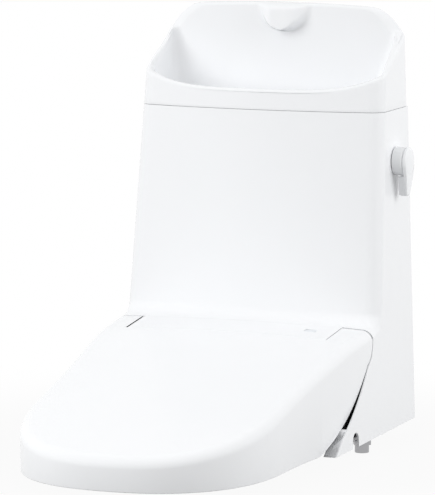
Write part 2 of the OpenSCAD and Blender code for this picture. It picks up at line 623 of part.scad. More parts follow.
// Flush lever
bezel_x = side_x(lever_z - lever_r) + play;
bezel_t = 16.2;
neck_r = 9;
hub_x = bezel_x + bezel_t + 0.6;
hub_t = 7.2;
module on_lever_axis(x) {
    translate([x, lever_y, lever_z]) rotate([0, 90, 0]) children();
}
module lever_bezel() {
    color(white) difference() {
        union() {
            on_lever_axis(bezel_x) rotate_extrude(convexity = 4)
                polygon([[0, 0], [lever_r, 0], [lever_r, bezel_t - 1.5], [lever_r - 1.5, bezel_t], [0, bezel_t]]);
            on_lever_axis(tank_w / 2 - tank_wall - 11)
                cylinder(r = neck_r, h = bezel_x - tank_w / 2 + tank_wall + 12);
        }
        on_lever_axis(tank_w / 2 - tank_wall - 12)
            cylinder(r = 4 + slip, h = bezel_x + bezel_t + 1 - tank_w / 2 + tank_wall + 12);
    }
}
module lever_nut() {
    color(white) on_lever_axis(tank_w / 2 - tank_wall - 8 - play) difference() {
        cylinder(r = 13.5, h = 8, $fn = 6);
        translate([0, 0, -1]) cylinder(r = neck_r + slip, h = 10);
    }
}
module lever_shaft() {
    color(steel) union() {
        on_lever_axis(crank_x - 4) cylinder(r = 4, h = hub_x + 5 - crank_x + 4);
        translate([crank_x - 3, lever_y - crank_l, lever_z - 3]) cube([6, crank_l, 6]);
        translate([crank_x, lever_y - crank_l, lever_z - 4]) cylinder(r = crank_tip_r, h = 8);
    }
}
paddle_x = bezel_x + 6.9;
module lever_handle() {
    color(white) difference() {
        union() {
            on_lever_axis(hub_x) rotate_extrude(convexity = 4)
                polygon(concat([[0, 0], [lever_r, 0]],
                    [for (a = [0:15:90]) [lever_r - 6 + 6 * cos(a), 2.5 + 3.6 * sin(a)]], [[0, hub_t]]));
            translate([paddle_x, lever_y, lever_z]) rotate([90, 0, 90]) linear_extrude(hub_x + hub_t - 1 - paddle_x)
                polygon([[-10, -lever_r - 0.8], [10, -lever_r - 0.8], [7, -lever_l + 2], [5, -lever_l],
                    [-5, -lever_l], [-7, -lever_l + 2]]);
            translate([hub_x, lever_y, lever_z]) rotate([90, 0, 90]) linear_extrude(hub_t - 2.5)
                polygon([[-0.954, -0.3] * lever_r, [0.954, -0.3] * lever_r, [7, -lever_l + 2], [-7, -lever_l + 2]]);
        }
        on_lever_axis(hub_x - 1) cylinder(r = 4 + slip, h = 6.5);
        translate([hub_x + hub_t - 1, lever_y - 20, lever_z - lever_l - 1]) rotate([0, 8, 0])
            translate([-3, 0, 0]) cube([20, 40, lever_l - lever_r]);
    }
}

// Base of the seat unit and what it carries
module base_plate() {
    x = side_x(plate_t) - wall - 0.5;
    front = -unit_reach + wall + play;
    color(grey) difference() {
        union() {
            translate([-x, front, 0]) cube([2 * x, back_reach - panel_t - play - front, plate_t]);
            for (s = [-1, 1]) translate([s * fix_spacing / 2, 0, 0]) cylinder(r = 13, h = plate_t + 8);
            for (s = [-1, 1]) translate([s * fix_spacing / 2 - 2, 12, plate_t - 1]) cube([4, 40, 7]);
        }
        translate([outlet_c[0], outlet_c[1], -1]) cylinder(r = outlet_r + 1 + play, h = plate_t + 2);
        for (s = [-1, 1]) translate([s * fix_spacing / 2, 0, -1]) cylinder(r = fix_r, h = plate_t + 12);
        translate([inlet_x - 15, notch_y - 24, -1]) cube([60, inlet_y - notch_y + 44, plate_t + 2]);
        both_sides() for (y = [-1, 1]) translate([stand_w / 2 + 10, tank_c + y * 20, -1])
            cylinder(r = 2.5, h = plate_t + 2);
    }
}
slide_angle = 35;
slide_l = 90;
exit_z = 22;
module nozzle_frame() {
    translate([0, -unit_reach, exit_z]) rotate([slide_angle, 0, 0]) children();
}
module nozzle_housing() {
    half = nozzle_x + nozzle_r + 4;
    color(grey) difference() {
        union() {
            nozzle_frame() translate([-half, 8, -12]) cube([2 * half, 110, 24]);
            both_sides() slab(half - 1, half + 3)
                polygon([[-unit_reach + 8, plate_t], [0, plate_t], [0, 84], [-unit_reach + 14, 24]]);
        }
        both_sides() nozzle_frame() translate([nozzle_x, 0, 0]) rotate([-90, 0, 0])
            cylinder(r = nozzle_r + slip, h = 130);
    }
}
module nozzle(r_tip) {
    nozzle_frame() difference() {
        union() {
            translate([0, 11, 0]) rotate([-90, 0, 0]) cylinder(r = nozzle_r, h = 125);
            translate([0, 3 + r_tip, 0]) rotate([-90, 0, 0]) cylinder(r = nozzle_r, h = 9);
            translate([0, 3, 0]) rotate([-90, 0, 0]) cylinder(r1 = nozzle_r - r_tip, r2 = nozzle_r, h = r_tip, $fn = 48);
        }
        for (y = [0, 1, 2]) translate([0, 9 + 3 * y, 0]) cylinder(r = 0.8, h = nozzle_r + 1);
        translate([0, 20, 0]) rotate([-90, 0, 0]) cylinder(r = nozzle_r - 3, h = 130);
    }
}
module wash_nozzle() {
    color(white) translate([-nozzle_x, 0, 0]) nozzle(3);
}
module bidet_nozzle() {
    color(white) translate([nozzle_x, 0, 0]) nozzle(2);
}
module nozzle_drive() {
    color(rubber) nozzle_frame() {
        translate([-14, 50, 12]) cube([28, 34, 14]);
        translate([0, 66, 26]) cylinder(r = 11, h = 10);
    }
}
unit_side = deck_half - 59;
heater_c = [-unit_side, -56];
module heater_tank() {
    color(white) {
        translate([heater_c[0], heater_c[1], plate_t]) linear_extrude(68) round_rect(104, 64, 12);
        for (x = [-30, 30]) translate([heater_c[0] + x, heater_c[1], plate_t + 68]) cylinder(r = 5, h = 10);
    }
}
module control_box() {
    color(rubber) translate([unit_side, -56, plate_t]) difference() {
        linear_extrude(60) round_rect(100, 62, 5);
        for (x = [-36:12:36]) translate([x - 3, -40, 50]) cube([6, 80, 20]);
    }
}
module receiver_window() {
    t = deck_line(window_c[1]) - deck_crown * sq(window_c[0] / side_x(deck_z));
    color([0.55, 0.62, 0.68]) translate([window_c[0], window_c[1], t]) rotate([atan(deck_rise), 0, 0]) {
        translate([-window_s[0] / 2 + play, -window_s[1] / 2 + play, -wall - 1])
            cube([window_s[0] - 2 * play, window_s[1] - 2 * play, wall + 0.9]);
        translate([-window_s[0] / 2 - 2, -window_s[1] / 2 - 2, -wall - 2.5])
            cube([window_s[0] + 4, window_s[1] + 4, 1.7]);
    }
}
damper_r = 7;
module hinge_dampers() {
    color(rubber) both_sides() translate([deck_half - wall - play - 44, -hinge_y, hinge_z]) rotate([0, 90, 0])
        cylinder(r = damper_r, h = 44);
}
cheek_x = deck_half + 3;
hub_a = cheek_x + 5;
hub_b = hub_a + 15;
module hinge_pins() {
    color(steel) both_sides() translate([deck_half - wall - play, -hinge_y, hinge_z]) rotate([0, 90, 0])
        cylinder(r = pin_r, h = hub_b + 2 - deck_half + wall + play);
}
module valve_unit() {
    color(grey) translate([inlet_x - 69, inlet_y + 29, plate_t]) {
        linear_extrude(34) round_rect(60, 34, 4);
        translate([-14, 0, 34]) cylinder(r = 11, h = 26);
        translate([16, 0, 34]) cylinder(r = 9, h = 20);
    }
}
// The inlet's thread ends at a shank, which the lock nut sits on
inlet_x = side_x(0) - 18.5;
shank_r = inlet_r + 0.8;
nut_drop = 10;
module inlet_body() {
    color(brass) difference() {
        union() {
            translate([inlet_x, inlet_y, -inlet_drop]) cylinder(r = inlet_r, h = inlet_drop - 2);
            translate([inlet_x, inlet_y, -nut_drop]) cylinder(r = shank_r, h = nut_drop - 2);
            translate([inlet_x, inlet_y, -2]) cylinder(r = 9, h = 40);
            translate([inlet_x, inlet_y, 38]) cylinder(r = 6, h = 8);
            translate([inlet_x, notch_y - 6, 9]) rotate([-90, 0, 0]) cylinder(r = 7, h = inlet_y - notch_y + 6);
            translate([inlet_x, notch_y - 12, 9]) rotate([-90, 0, 0]) cylinder(r = 11, h = 20);
        }
        translate([inlet_x, inlet_y, -inlet_drop - 1]) cylinder(r = 7, h = 40);
        translate([inlet_x - 1.5, notch_y - 13, -5]) cube([3, 3, 30]);
    }
}
module inlet_nut() {
    color(brass) translate([inlet_x, inlet_y, -nut_drop + 0.5]) difference() {
        cylinder(r = 14, h = 7, $fn = 6);
        translate([0, 0, -1]) cylinder(r = shank_r + slip, h = 9);
    }
}

// Lid: plan outline and height of its top
nose_y = -(lid_reach - lid_nose);
ear_y = 25;
function lid_half(y) = (lid_half_rear + lid_half_front) / 2
    + (lid_half_rear - lid_half_front) / 2 * cos(180 * clamp((ear_y - y) / (ear_y - nose_y), 0, 1));
lid_front_z = 50;
nose_l = lid_reach - deck_reach;
lid_bend = (deck_line(-deck_reach) - lid_front_z - deck_rise * nose_l) * (nose_l + 30) / sq(nose_l);
function lid_top(x, y) = let (d = -deck_reach - y)
    (d < 0 ? deck_line(y) : deck_line(-deck_reach) - deck_rise * d - lid_bend * sq(d) / (d + 30))
    - deck_crown * sq(x / lid_half_rear);
lid_rear = 48;
lid_stations = concat([for (f = [0, 0.4, 0.8, 1]) [0, f]],
    [for (y = [28, 8, -20, -50, -90, -130, -175, -220, -262]) [1, y]],
    [for (a = [0, 3, 8, 15, 22.5, 30, 37.5, 45, 52.5, 60, 67.5, 75, 82, 87, 90]) [2, a]]);
nose_q = 2 / 2.35;
function lid_xy(s, d) = let (c = cos(s[1]), n = sin(s[1]))
    s[0] == 0 ? [s[1] * (lid_half(lid_rear) - d), lid_rear - d]
    : s[0] == 1 ? [lid_half(s[1]) - d, s[1]]
    : [lid_half_front * pow(c, nose_q), nose_y - lid_nose * pow(n, nose_q)]
        - d * unit([lid_nose * pow(c, 2 - nose_q), -lid_half_front * pow(n, 2 - nose_q)]);
function lid_pt(s, d, drop) = let (p = lid_xy(s, d)) [p[0], p[1], lid_top(p[0], p[1]) - drop];
lid_mid = [0, -180];
function lid_in(s, d, f, drop) = let (p = lid_xy(s, d), q = mix(p, [0, clamp(p[1], nose_y - 60, -20)], f))
    [q[0], q[1], lid_top(q[0], q[1]) - drop];
function lid_core(s, d, f, drop) = let (p = lid_in(s, d, 0.85, drop), q = mix([p[0], p[1]], lid_mid, f))
    [q[0], q[1], lid_top(q[0], q[1]) - drop];
module lid_shape(t) {
    r = lid_shoulder - t;
    foot = t > 0 ? -8 : lid_bottom;
    rows = concat(
        [[for (s = lid_stations) let (p = lid_xy(s, t > 0 ? t : 1.2)) [p[0], p[1], foot]]],
        [[for (s = lid_stations) let (p = lid_xy(s, t)) [p[0], p[1], lid_bottom + 2.5]]],
        [for (a = [0:22.5:90]) [for (s = lid_stations) lid_pt(s, t + r * (1 - cos(a)), t + r * (1 - sin(a)))]],
        [for (f = [0.3, 0.6]) [for (s = lid_stations) lid_in(s, t + r, f, t)]],
        [for (f = [0, 0.25, 0.5, 0.75, 0.97]) [for (s = lid_stations) lid_core(s, t + r, f, t)]]);
    grid([for (r = rows) mirrored(r)]);
}
module lid() {
    ring_in = deck_edge_r + lid_gap;
    color(white) difference() {
        lid_shape(0);
        difference() {
            lid_shape(lid_wall);
            both_sides() slab(cheek_x, cheek_x + 4) intersection() {
                pocket_2d(lid_gap);
                translate([-80, 70]) square([140, 120]);
            }
            slab(-cheek_x - 1, cheek_x + 1) intersection() {
                translate([-hinge_y, hinge_z]) circle(ring_in + 4, $fn = 72);
                translate([-hinge_y - 60, hinge_z - 18]) square([60, 80]);
            }
        }
        slab(-cheek_x, cheek_x) {
            translate([-hinge_y, hinge_z]) circle(ring_in, $fn = 72);
            translate([-hinge_y, -50]) square([200, 300]);
        }
        both_sides() slab(cheek_x - 0.01, 260) difference() {
            translate([-300, -60]) square([400, 300]);
            pocket_2d(lid_gap);
        }
        both_sides() slab(cheek_x - 1, cheek_x + 5) translate([-hinge_y, hinge_z]) circle(pin_r + slip);
    }
}
lid_pad = [50, -lid_reach + 29];
function seat_top_z(y) = seat_under + seat_t + 0.06 * (y + lid_reach);
module lid_bumpers() {
    z = lid_top(lid_pad[0], lid_pad[1]) - lid_wall - play;
    color(rubber) both_sides() translate([lid_pad[0], lid_pad[1], 0]) difference() {
        translate([0, 0, seat_top_z(lid_pad[1] + 7) + play]) cylinder(r = 7, h = 40);
        translate([0, 0, z]) rotate([13.5, 0, 0]) translate([-20, -20, 0]) cube([40, 80, 40]);
    }
}

// Seat: a ring with a domed section on two hinge arms
seat_half = lid_half_front - 10;
seat_c = nose_y;
// The seat's rear edge in front of the unit, the width of the ring there, and the opening's middle
seat_rear = -unit_reach - 8;
seat_rear_w = 37;
seat_mid = seat_rear - seat_rear_w - seat_open_l;
seat_steps = 60;
function seat_out(a) = let (c = cos(a), s = sin(a), n = s > 0 ? 2 / 4.5 : 1)
    [(s > 0 ? seat_half + 3 : seat_half) * sign(c) * pow(abs(c), n),
        seat_c + (s > 0 ? seat_rear - seat_c : lid_nose - 10) * sign(s) * pow(abs(s), n)];
function seat_in(a) = [seat_open_w * cos(a), seat_mid + seat_open_l * sin(a)];
// The rear of the ring arches over the nozzles
function seat_low(p) = seat_under + (p[1] > seat_c
    ? 27 * smooth((95 - abs(p[0])) / 45) * smooth((p[1] - seat_rear + 102) / 50) : 0);
seat_profile = [[0.1, 0], [0, 0.2], [0, 0.5], [0.05, 0.8], [0.16, 0.96], [0.35, 1], [0.6, 0.95], [0.85, 0.75],
    [0.97, 0.5], [1, 0.25], [0.93, 0]];
function seat_pt(a, q) = let (p = mix(seat_out(a), seat_in(a), q[0]), lo = seat_low(p),
    hi = seat_top_z(p[1]) + 0.2 * (lo - seat_under)) [p[0], p[1], mix(lo, hi, q[1])];
module ring_of(rows) {
    m = len(rows);
    n = len(rows[0]);
    polyhedron([for (r = rows, p = r) p], [for (i = [0:m - 1], j = [0:n - 1], k = [0, 1])
        let (a = i * n + j, b = i * n + (j + 1) % n, c = (i + 1) % m * n + j, d = (i + 1) % m * n + (j + 1) % n)
        k == 0 ? [a, b, d] : [a, d, c]], convexity = 6);
}
module seat_ring() {
    color(white) difference() {
        union() {
            ring_of([for (i = [0:seat_steps - 1]) [for (q = seat_profile) seat_pt(i * 360 / seat_steps, q)]]);
            both_sides() slab(hub_a, hub_b) difference() {
                union() {
                    translate([-hinge_y, hinge_z]) circle(20);
                    polygon([[-hinge_y - 4, hinge_z - 19], [-46, 84], [-82, 54], [-122, 32], [-160, 16], [-190, 12],
                        [-196, 44], [-150, 50], [-110, 68], [-70, 100], [-hinge_y - 19, hinge_z + 2]]);
                }
                translate([-100, hinge_z + 5.6]) square([200, 60]);
            }
        }
        both_sides() slab(hub_a - 1, hub_b + 1) translate([-hinge_y, hinge_z]) circle(pin_r + slip);
    }
}
seat_pads = [[seat_half - 32, nose_y + 70], [84, nose_y - 140]];
module seat_bumpers() {
    color(rubber) both_sides() for (p = seat_pads) translate([p[0], p[1], 0]) cylinder(r = 8, h = seat_under);
}

cabinet_cover();
rear_panel();
rear_screws();
basin();
basin_strainer();
drain_tail();
spout_nozzle();
spout_tube();
inner_tank();
tank_stand();
outlet_pipe();
outlet_gasket();
valve_seat();
overflow_tube();
flapper();
lift_chain();
fill_valve();
float_arm();
float_cup();
supply_hose();
lever_bezel();
lever_nut();
lever_shaft();
lever_handle();
base_plate();
base_screws();
nozzle_housing();
wash_nozzle();
bidet_nozzle();
nozzle_drive();
heater_tank();
control_box();
receiver_window();
hinge_dampers();
hinge_pins();
lid();
lid_bumpers();
seat_ring();
seat_bumpers();
inlet_body();
inlet_nut();
valve_unit();
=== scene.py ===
"""The looks of a toilet top unit: a cistern cabinet with a hand-wash basin and a washing seat.

Everything is in the CAD model's frame. Sizes are written in millimetres and scaled as meshes are made.
"""
import math

import bmesh
import bpy
import numpy as np
from mathutils import Matrix, Vector


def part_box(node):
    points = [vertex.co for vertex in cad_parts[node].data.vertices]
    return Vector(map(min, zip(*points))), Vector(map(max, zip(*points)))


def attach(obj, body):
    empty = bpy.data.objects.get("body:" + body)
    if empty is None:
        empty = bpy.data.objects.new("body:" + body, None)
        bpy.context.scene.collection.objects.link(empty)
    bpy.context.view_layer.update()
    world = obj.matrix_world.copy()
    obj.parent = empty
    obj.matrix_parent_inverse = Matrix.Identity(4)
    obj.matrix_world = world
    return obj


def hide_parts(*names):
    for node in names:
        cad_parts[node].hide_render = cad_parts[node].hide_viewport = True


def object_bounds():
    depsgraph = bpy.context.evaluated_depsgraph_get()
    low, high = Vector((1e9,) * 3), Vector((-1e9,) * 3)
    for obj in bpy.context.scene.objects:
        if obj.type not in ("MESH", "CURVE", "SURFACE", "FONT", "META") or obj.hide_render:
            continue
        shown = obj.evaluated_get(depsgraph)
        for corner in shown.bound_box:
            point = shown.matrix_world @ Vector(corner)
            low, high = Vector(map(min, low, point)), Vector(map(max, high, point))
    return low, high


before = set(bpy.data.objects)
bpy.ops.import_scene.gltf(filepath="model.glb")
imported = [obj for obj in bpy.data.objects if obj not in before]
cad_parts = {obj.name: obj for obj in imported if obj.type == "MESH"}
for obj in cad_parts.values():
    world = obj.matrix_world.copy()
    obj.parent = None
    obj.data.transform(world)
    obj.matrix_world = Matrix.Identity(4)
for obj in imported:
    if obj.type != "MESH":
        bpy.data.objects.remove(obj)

cad_box = [list(corner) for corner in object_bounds()]
scene = bpy.context.scene

# Camera: a long lens, low and to the right of the front, as in the photograph. It was fitted to the
# object's outline, its seam and its lower edges.
camera_data = bpy.data.cameras.new("camera")
camera_data.sensor_fit = "VERTICAL"
camera_data.sensor_height = 36
camera_data.lens = 283.35
camera = bpy.data.objects.new("camera", camera_data)
camera.location = (2.0507, -5.2517, 1.0432)
aim = Vector((-0.0333, 0, 0.2704)) - camera.location
camera.rotation_euler = aim.to_track_quat("-Z", "Y").to_euler()
scene.collection.objects.link(camera)
scene.camera = camera
scene.view_settings.view_transform = "Standard"


# Studio: a white room whose light on the object is at a plain level, two soft lamps, and a pale floor
# that keeps the shadow. The room is pure white only to the camera and in reflections.
class Signal:
    """A shader socket that takes part in ordinary arithmetic."""

    def __init__(self, graph, socket):
        self.graph = graph
        self.socket = socket

    def math(self, operation, *values, clamp=False):
        return self.graph.node("ShaderNodeMath", dict(enumerate(values)), operation=operation,
                               use_clamp=clamp)

    def __add__(self, other):
        return self.math("ADD", self, other)

    __radd__ = __add__

    def __mul__(self, other):
        return self.math("MULTIPLY", self, other)

    __rmul__ = __mul__

    def __sub__(self, other):
        return self.math("SUBTRACT", self, other)

    def __rsub__(self, other):
        return self.math("SUBTRACT", other, self)

    def over(self, low, high):
        """0 below low, 1 above high, and smooth between."""
        return self.graph.node("ShaderNodeMapRange", {"Value": self, "From Min": low, "From Max": high},
                               interpolation_type="SMOOTHSTEP")


class Graph:
    """The node tree of a material or of the world."""

    def __init__(self, owner):
        owner.use_nodes = True
        self.tree = owner.node_tree

    def feed(self, socket, value):
        if isinstance(value, Signal):
            self.tree.links.new(value.socket, socket)
        else:
            socket.default_value = value

    def node(self, kind, inputs=None, output=0, **settings):
        node = self.tree.nodes.new(kind)
        for key, value in settings.items():
            setattr(node, key, value)
        for key, value in (inputs or {}).items():
            self.feed(node.inputs[key], value)
        return Signal(self, node.outputs[output])

    def coordinates(self):
        return self.node("ShaderNodeTexCoord", output="Object")

    def noise(self, scale, detail):
        """Noise of about `scale` features a metre, centred on zero, from -0.5 to 0.5."""
        return self.node("ShaderNodeTexNoise", {"Vector": self.coordinates(), "Scale": scale,
                                                "Detail": detail, "Roughness": 0.5}) - 0.5

    def white_rays(self):
        """1 for rays that show the background as such: to the camera and in reflections."""
        seen, glossy, transmitted = (self.node("ShaderNodeLightPath", output=name) for name in
                                     ("Is Camera Ray", "Is Glossy Ray", "Is Transmission Ray"))
        return seen.math("ADD", seen + glossy, transmitted, clamp=True)


AMBIENT = 0.67
world = bpy.data.worlds.new("room")
scene.world = world
room = Graph(world)
background = room.tree.nodes["Background"]
background.inputs["Color"].default_value = (1, 1, 1, 1)
room.feed(background.inputs["Strength"], AMBIENT + (1 - AMBIENT) * room.white_rays())


def lamp(name, place, size, power):
    """A soft square lamp that looks at the object's middle and leaves no bright spot in the gloss."""
    data = bpy.data.lights.new(name, "AREA")
    data.size = size
    data.energy = power
    piece = bpy.data.objects.new(name, data)
    piece.location = place
    piece.rotation_euler = (Vector((0, 0, 0.3)) - Vector(place)).to_track_quat("-Z", "Y").to_euler()
    piece.visible_glossy = False
    scene.collection.objects.link(piece)


lamp("key", (-2.45, -2.8, 1.8), 2.6, 84)
lamp("side", (3.1, 0.2, 1.2), 2.4, 50)

# The floor shows almost white under the object, and pure white from HALO metres out.
FLOOR_RADIUS, UNDER_OBJECT, HALO = 9, 0.94, (0.3, 0.8)
floor_mesh = bpy.data.meshes.new("floor")
disc = bmesh.new()
bmesh.ops.create_circle(disc, cap_ends=True, segments=96, radius=FLOOR_RADIUS)
disc.to_mesh(floor_mesh)
disc.free()
floor = bpy.data.objects.new("floor", floor_mesh)
floor.location.z = cad_box[0][2] - 0.0005
scene.collection.objects.link(floor)
floor_look = bpy.data.materials.new("floor")
ground = Graph(floor_look)
diffuse = ground.node("ShaderNodeBsdfDiffuse", {"Color": (0.33, 0.33, 0.33, 1)})
glow = ground.node("ShaderNodeEmission", {"Color": (1, 1, 1, 1), "Strength": 1})
distance = ground.node("ShaderNodeVectorMath", {0: ground.coordinates()}, output="Value", operation="LENGTH")
whiteness = UNDER_OBJECT + (1 - UNDER_OBJECT) * distance.over(*HALO)
blend = ground.node("ShaderNodeMixShader", {0: ground.white_rays() * whiteness, 1: diffuse, 2: glow})
ground.feed(ground.tree.nodes["Material Output"].inputs["Surface"], blend)
floor_mesh.materials.append(floor_look)


# Moulded plastic, and the other materials of the record's slots. Each has its tone, its gloss and
# a grain at its real scale.
MM = 0.001
PATCH_TONE, GLOSS_WANDER, GRAIN_SCALE = 0.012, 0.03, 900


def finish(name, colour, roughness, grain, metallic=0.0):
    """A solid colour with faint patches, a gloss that wanders, and a fine grain, so many mm deep."""
    material = bpy.data.materials.new(name)
    graph = Graph(material)
    shader = graph.tree.nodes["Principled BSDF"]
    patches = graph.noise(14, 2)
    shade = 1 + PATCH_TONE * patches
    base = graph.node("ShaderNodeVectorMath", {0: colour, "Scale": shade}, operation="SCALE")
    graph.feed(shader.inputs["Base Color"], base)
    wander = GLOSS_WANDER * graph.noise(60, 3)
    graph.feed(shader.inputs["Roughness"], roughness + wander + GLOSS_WANDER * patches)
    shader.inputs["Metallic"].default_value = metallic
    bump = graph.node("ShaderNodeBump", {"Height": graph.noise(GRAIN_SCALE, 2) + 0.6 * graph.noise(25, 1),
                                         "Strength": 1.0, "Distance": grain * MM})
    graph.feed(shader.inputs["Normal"], bump)
    return material


looks = {name: finish(name, *values) for name, *values in (
    ("white_gloss", (0.895, 0.905, 0.92), 0.2, 0.02),
    ("white_matte", (0.83, 0.84, 0.845), 0.5, 0.06),
    ("grey_plastic", (0.42, 0.44, 0.46), 0.48, 0.08),
    ("black_plastic", (0.03, 0.03, 0.032), 0.4, 0.06),
    ("clear_tube", (0.75, 0.78, 0.78), 0.25, 0.02),
    ("window", (0.76, 0.79, 0.82), 0.12, 0.01),
    ("steel", (0.62, 0.62, 0.63), 0.28, 0.03, 1),
    ("chrome", (0.75, 0.75, 0.76), 0.1, 0.01, 1),
    ("brass", (0.40, 0.40, 0.41), 0.32, 0.04, 1),
    ("rubber", (0.035, 0.035, 0.037), 0.65, 0.08),
)}


def slot_of(node):
    """The material slot that the record gives a CAD node."""
    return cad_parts[node].material_slots[0].material.name.split(".")[0]


for name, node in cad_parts.items():
    node.material_slots[0].material = looks[slot_of(name)]


# Cabinet cover: one moulded shell, open below, behind and at the seam, with the rear panel screwed
# into its back. A line up its front carries a section with round corners, and the shell is trimmed
# to the lid's ears and the seat unit's front.
BODY_W, SIDE_TAPER, BACK, SEAM_Z, TANK_DEPTH = 411, 0.031, 200, 468, 136
LEAN, CORNER_R, FRONT_BOW, FOOT_R, WALL = math.radians(7), 20, 20, 20, 3
DECK_Z, DECK_RISE, DECK_R, DECK_REACH, DECK_HALF, DECK_CROWN = 156.5, 0.114, 14, 50, 155, 6
DECK_TILT = math.hypot(1, DECK_RISE)
UNIT_REACH, WING_REACH, WING_INNER = 100, 171, DECK_HALF + 31
HINGE = HINGE_Y, HINGE_Z = -15, 142
PIN_R, POCKET_R, LID_GAP = 3.5, 36, 1.2
PLAY, SLIP = 0.3, 0.05
LEVER_Y, LEVER_Z, NECK_R = BACK - 62, 393, 9
NOTCH_Y, NOTCH_TOP, NOTCH_R, NOZZLE_X, NOZZLE_R = -62, 22, 12.5, 16, 8
WINDOW_C, WINDOW_S = (118, -15), (18, 13)
OUTSIDE, FAR = 260, 900


def side_x(z):
    """Half width of the cabinet at a height."""
    return BODY_W / 2 - SIDE_TAPER * z


def tank_y(z):
    """Front face of the cabinet at a height, above its foot."""
    return BACK - TANK_DEPTH - (SEAM_Z - z) * math.tan(LEAN)


def deck_line(y):
    """Height of the deck's middle: a straight line that rises towards the cabinet."""
    return DECK_Z + DECK_RISE * (y + DECK_REACH)


def smooth(t):
    """0 below 0, 1 above 1, and three squares less two cubes between."""
    t = np.clip(t, 0, 1)
    return t * t * (3 - 2 * t)


def span(side, near, far):
    """The two X levels of a piece that lies on one side, the lower one first."""
    return sorted((side * near, side * far))


def mesh_piece(name, points, faces, turn=True):
    """An object from points in millimetres, merged. Its faces are turned outwards, or are already and
    become whole again where they are flat."""
    mesh = bpy.data.meshes.new(name)
    mesh.from_pydata((np.asarray(points, float) * MM).tolist(), [], faces)
    shape = bmesh.new()
    shape.from_mesh(mesh)
    bmesh.ops.remove_doubles(shape, verts=shape.verts, dist=1e-6)
    if turn:
        bmesh.ops.recalc_face_normals(shape, faces=shape.faces)
    else:
        bmesh.ops.dissolve_limit(shape, angle_limit=math.radians(0.6), verts=shape.verts, edges=shape.edges)
    shape.to_mesh(mesh)
    shape.free()
    piece = bpy.data.objects.new(name, mesh)
    scene.collection.objects.link(piece)
    return piece


def skin(name, rows, ring=False):
    """A closed surface through rows of points (rows, points, 3), where each row is a closed loop.
    A fan closes each end, unless the rows themselves run round in a ring."""
    rows = np.asarray(rows, float)
    m, n = rows.shape[:2]
    i, j = np.meshgrid(np.arange(m if ring else m - 1), np.arange(n), indexing="ij")
    quads = np.stack([i * n + j, i * n + (j + 1) % n, (i + 1) % m * n + (j + 1) % n, (i + 1) % m * n + j], -1)
    faces = quads.reshape(-1, 4).tolist()
    points = rows.reshape(-1, 3)
    if not ring:
        points = np.vstack([points, rows[0].mean(0), rows[-1].mean(0)])
        around = np.arange(n)
        for centre, start in ((m * n, 0), (m * n + 1, (m - 1) * n)):
            faces += np.stack([np.full(n, centre), start + (around + 1) % n, start + around], -1).tolist()
    return mesh_piece(name, points, faces)


def prism(outline, low, high, axis=0):
    """A plate with a flat outline, from low to high along an axis. The outline's two numbers are
    (y, z) for the X axis, (x, z) for Y and (x, y) for Z."""
    outline = np.asarray(outline, float)
    n = len(outline)
    ends = [np.insert(outline, axis, level, axis=1) for level in (low, high)]
    around = np.arange(n)
    sides = np.stack([around, (around + 1) % n, n + (around + 1) % n, n + around], -1).tolist()
    return mesh_piece("cutter", np.vstack(ends), sides + [around.tolist(), (n + around).tolist()])


def box(low, high):
    """A block between its lowest and highest corners."""
    (x, y, z), (x_high, y_high, z_high) = low, high
    return prism([(y, z), (y_high, z), (y_high, z_high), (y, z_high)], x, x_high)


def circle(centre, radius, steps=96, start=0, end=360):
    """Points on a circle, or on an arc of it from one angle to another."""
    a = np.radians(np.linspace(start, end, steps, endpoint=end - start != 360))
    return np.stack([centre[0] + radius * np.cos(a), centre[1] + radius * np.sin(a)], -1)


def settle(piece):
    """Applies a piece's modifiers."""
    mesh = bpy.data.meshes.new_from_object(piece.evaluated_get(bpy.context.evaluated_depsgraph_get()))
    piece.modifiers.clear()
    piece.data = mesh


def combine(piece, others, operation="DIFFERENCE"):
    """Cuts other pieces out of a piece, or joins them to it, and deletes them."""
    for other in others:
        modifier = piece.modifiers.new(operation.lower(), "BOOLEAN")
        modifier.operation = operation
        modifier.solver = "EXACT"
        modifier.object = other
    settle(piece)
    for other in others:
        bpy.data.objects.remove(other)
    return piece


def dress(piece, body, slot, rounding=0.0, sharp=32):
    """Rounds a piece's edges, shades it smoothly, gives it its look and lets it stand for the node
    that it is named after."""
    if rounding:
        bevel = piece.modifiers.new("rounding", "BEVEL")
        bevel.width = rounding * MM
        bevel.segments = 3
        bevel.limit_method = "ANGLE"
        bevel.angle_limit = math.radians(40)
        bevel.use_clamp_overlap = True
        settle(piece)
    piece.data.shade_smooth()
    piece.data.set_sharp_from_angle(angle=math.radians(sharp))
    piece.data.materials.clear()
    piece.data.materials.append(looks[slot])
    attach(piece, body)
    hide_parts(piece.name.split(".")[0])
    return piece


def section(p, normal, inset, r, crown):
    """The cabinet's section square to its front line: a front crowned by the square of x, and two
    round corners of radius r."""
    w = side_x(p[1] - normal[1] * (crown + r)) - inset
    flat = (w - r) * np.arange(24) / 24
    a = np.radians(np.linspace(0, 90, 19))
    x = np.concatenate([flat, w - r + r * np.sin(a)])
    drop = crown * (x / w) ** 2 + np.concatenate([0 * flat, r * (1 - np.cos(a))])
    half = np.stack([x, p[0] - normal[0] * drop, p[1] - normal[1] * drop], -1)
    return np.vstack([half[:0:-1] * (-1, 1, 1), half])


# The centre of the foot's hollow curve, which touches the leaning front and the deck's line.
foot_gap = (tank_y(0) - FOOT_R / math.cos(LEAN), deck_line(0) + FOOT_R * DECK_TILT)
foot_y = (foot_gap[0] + math.tan(LEAN) * foot_gap[1]) / (1 - math.tan(LEAN) * DECK_RISE)
foot_c = np.array([foot_y, foot_gap[1] + DECK_RISE * foot_y])
DECK_ROWS = (-200, -120, -50, -27, -5, foot_c[0] - 4, foot_c[0] + 1.6)


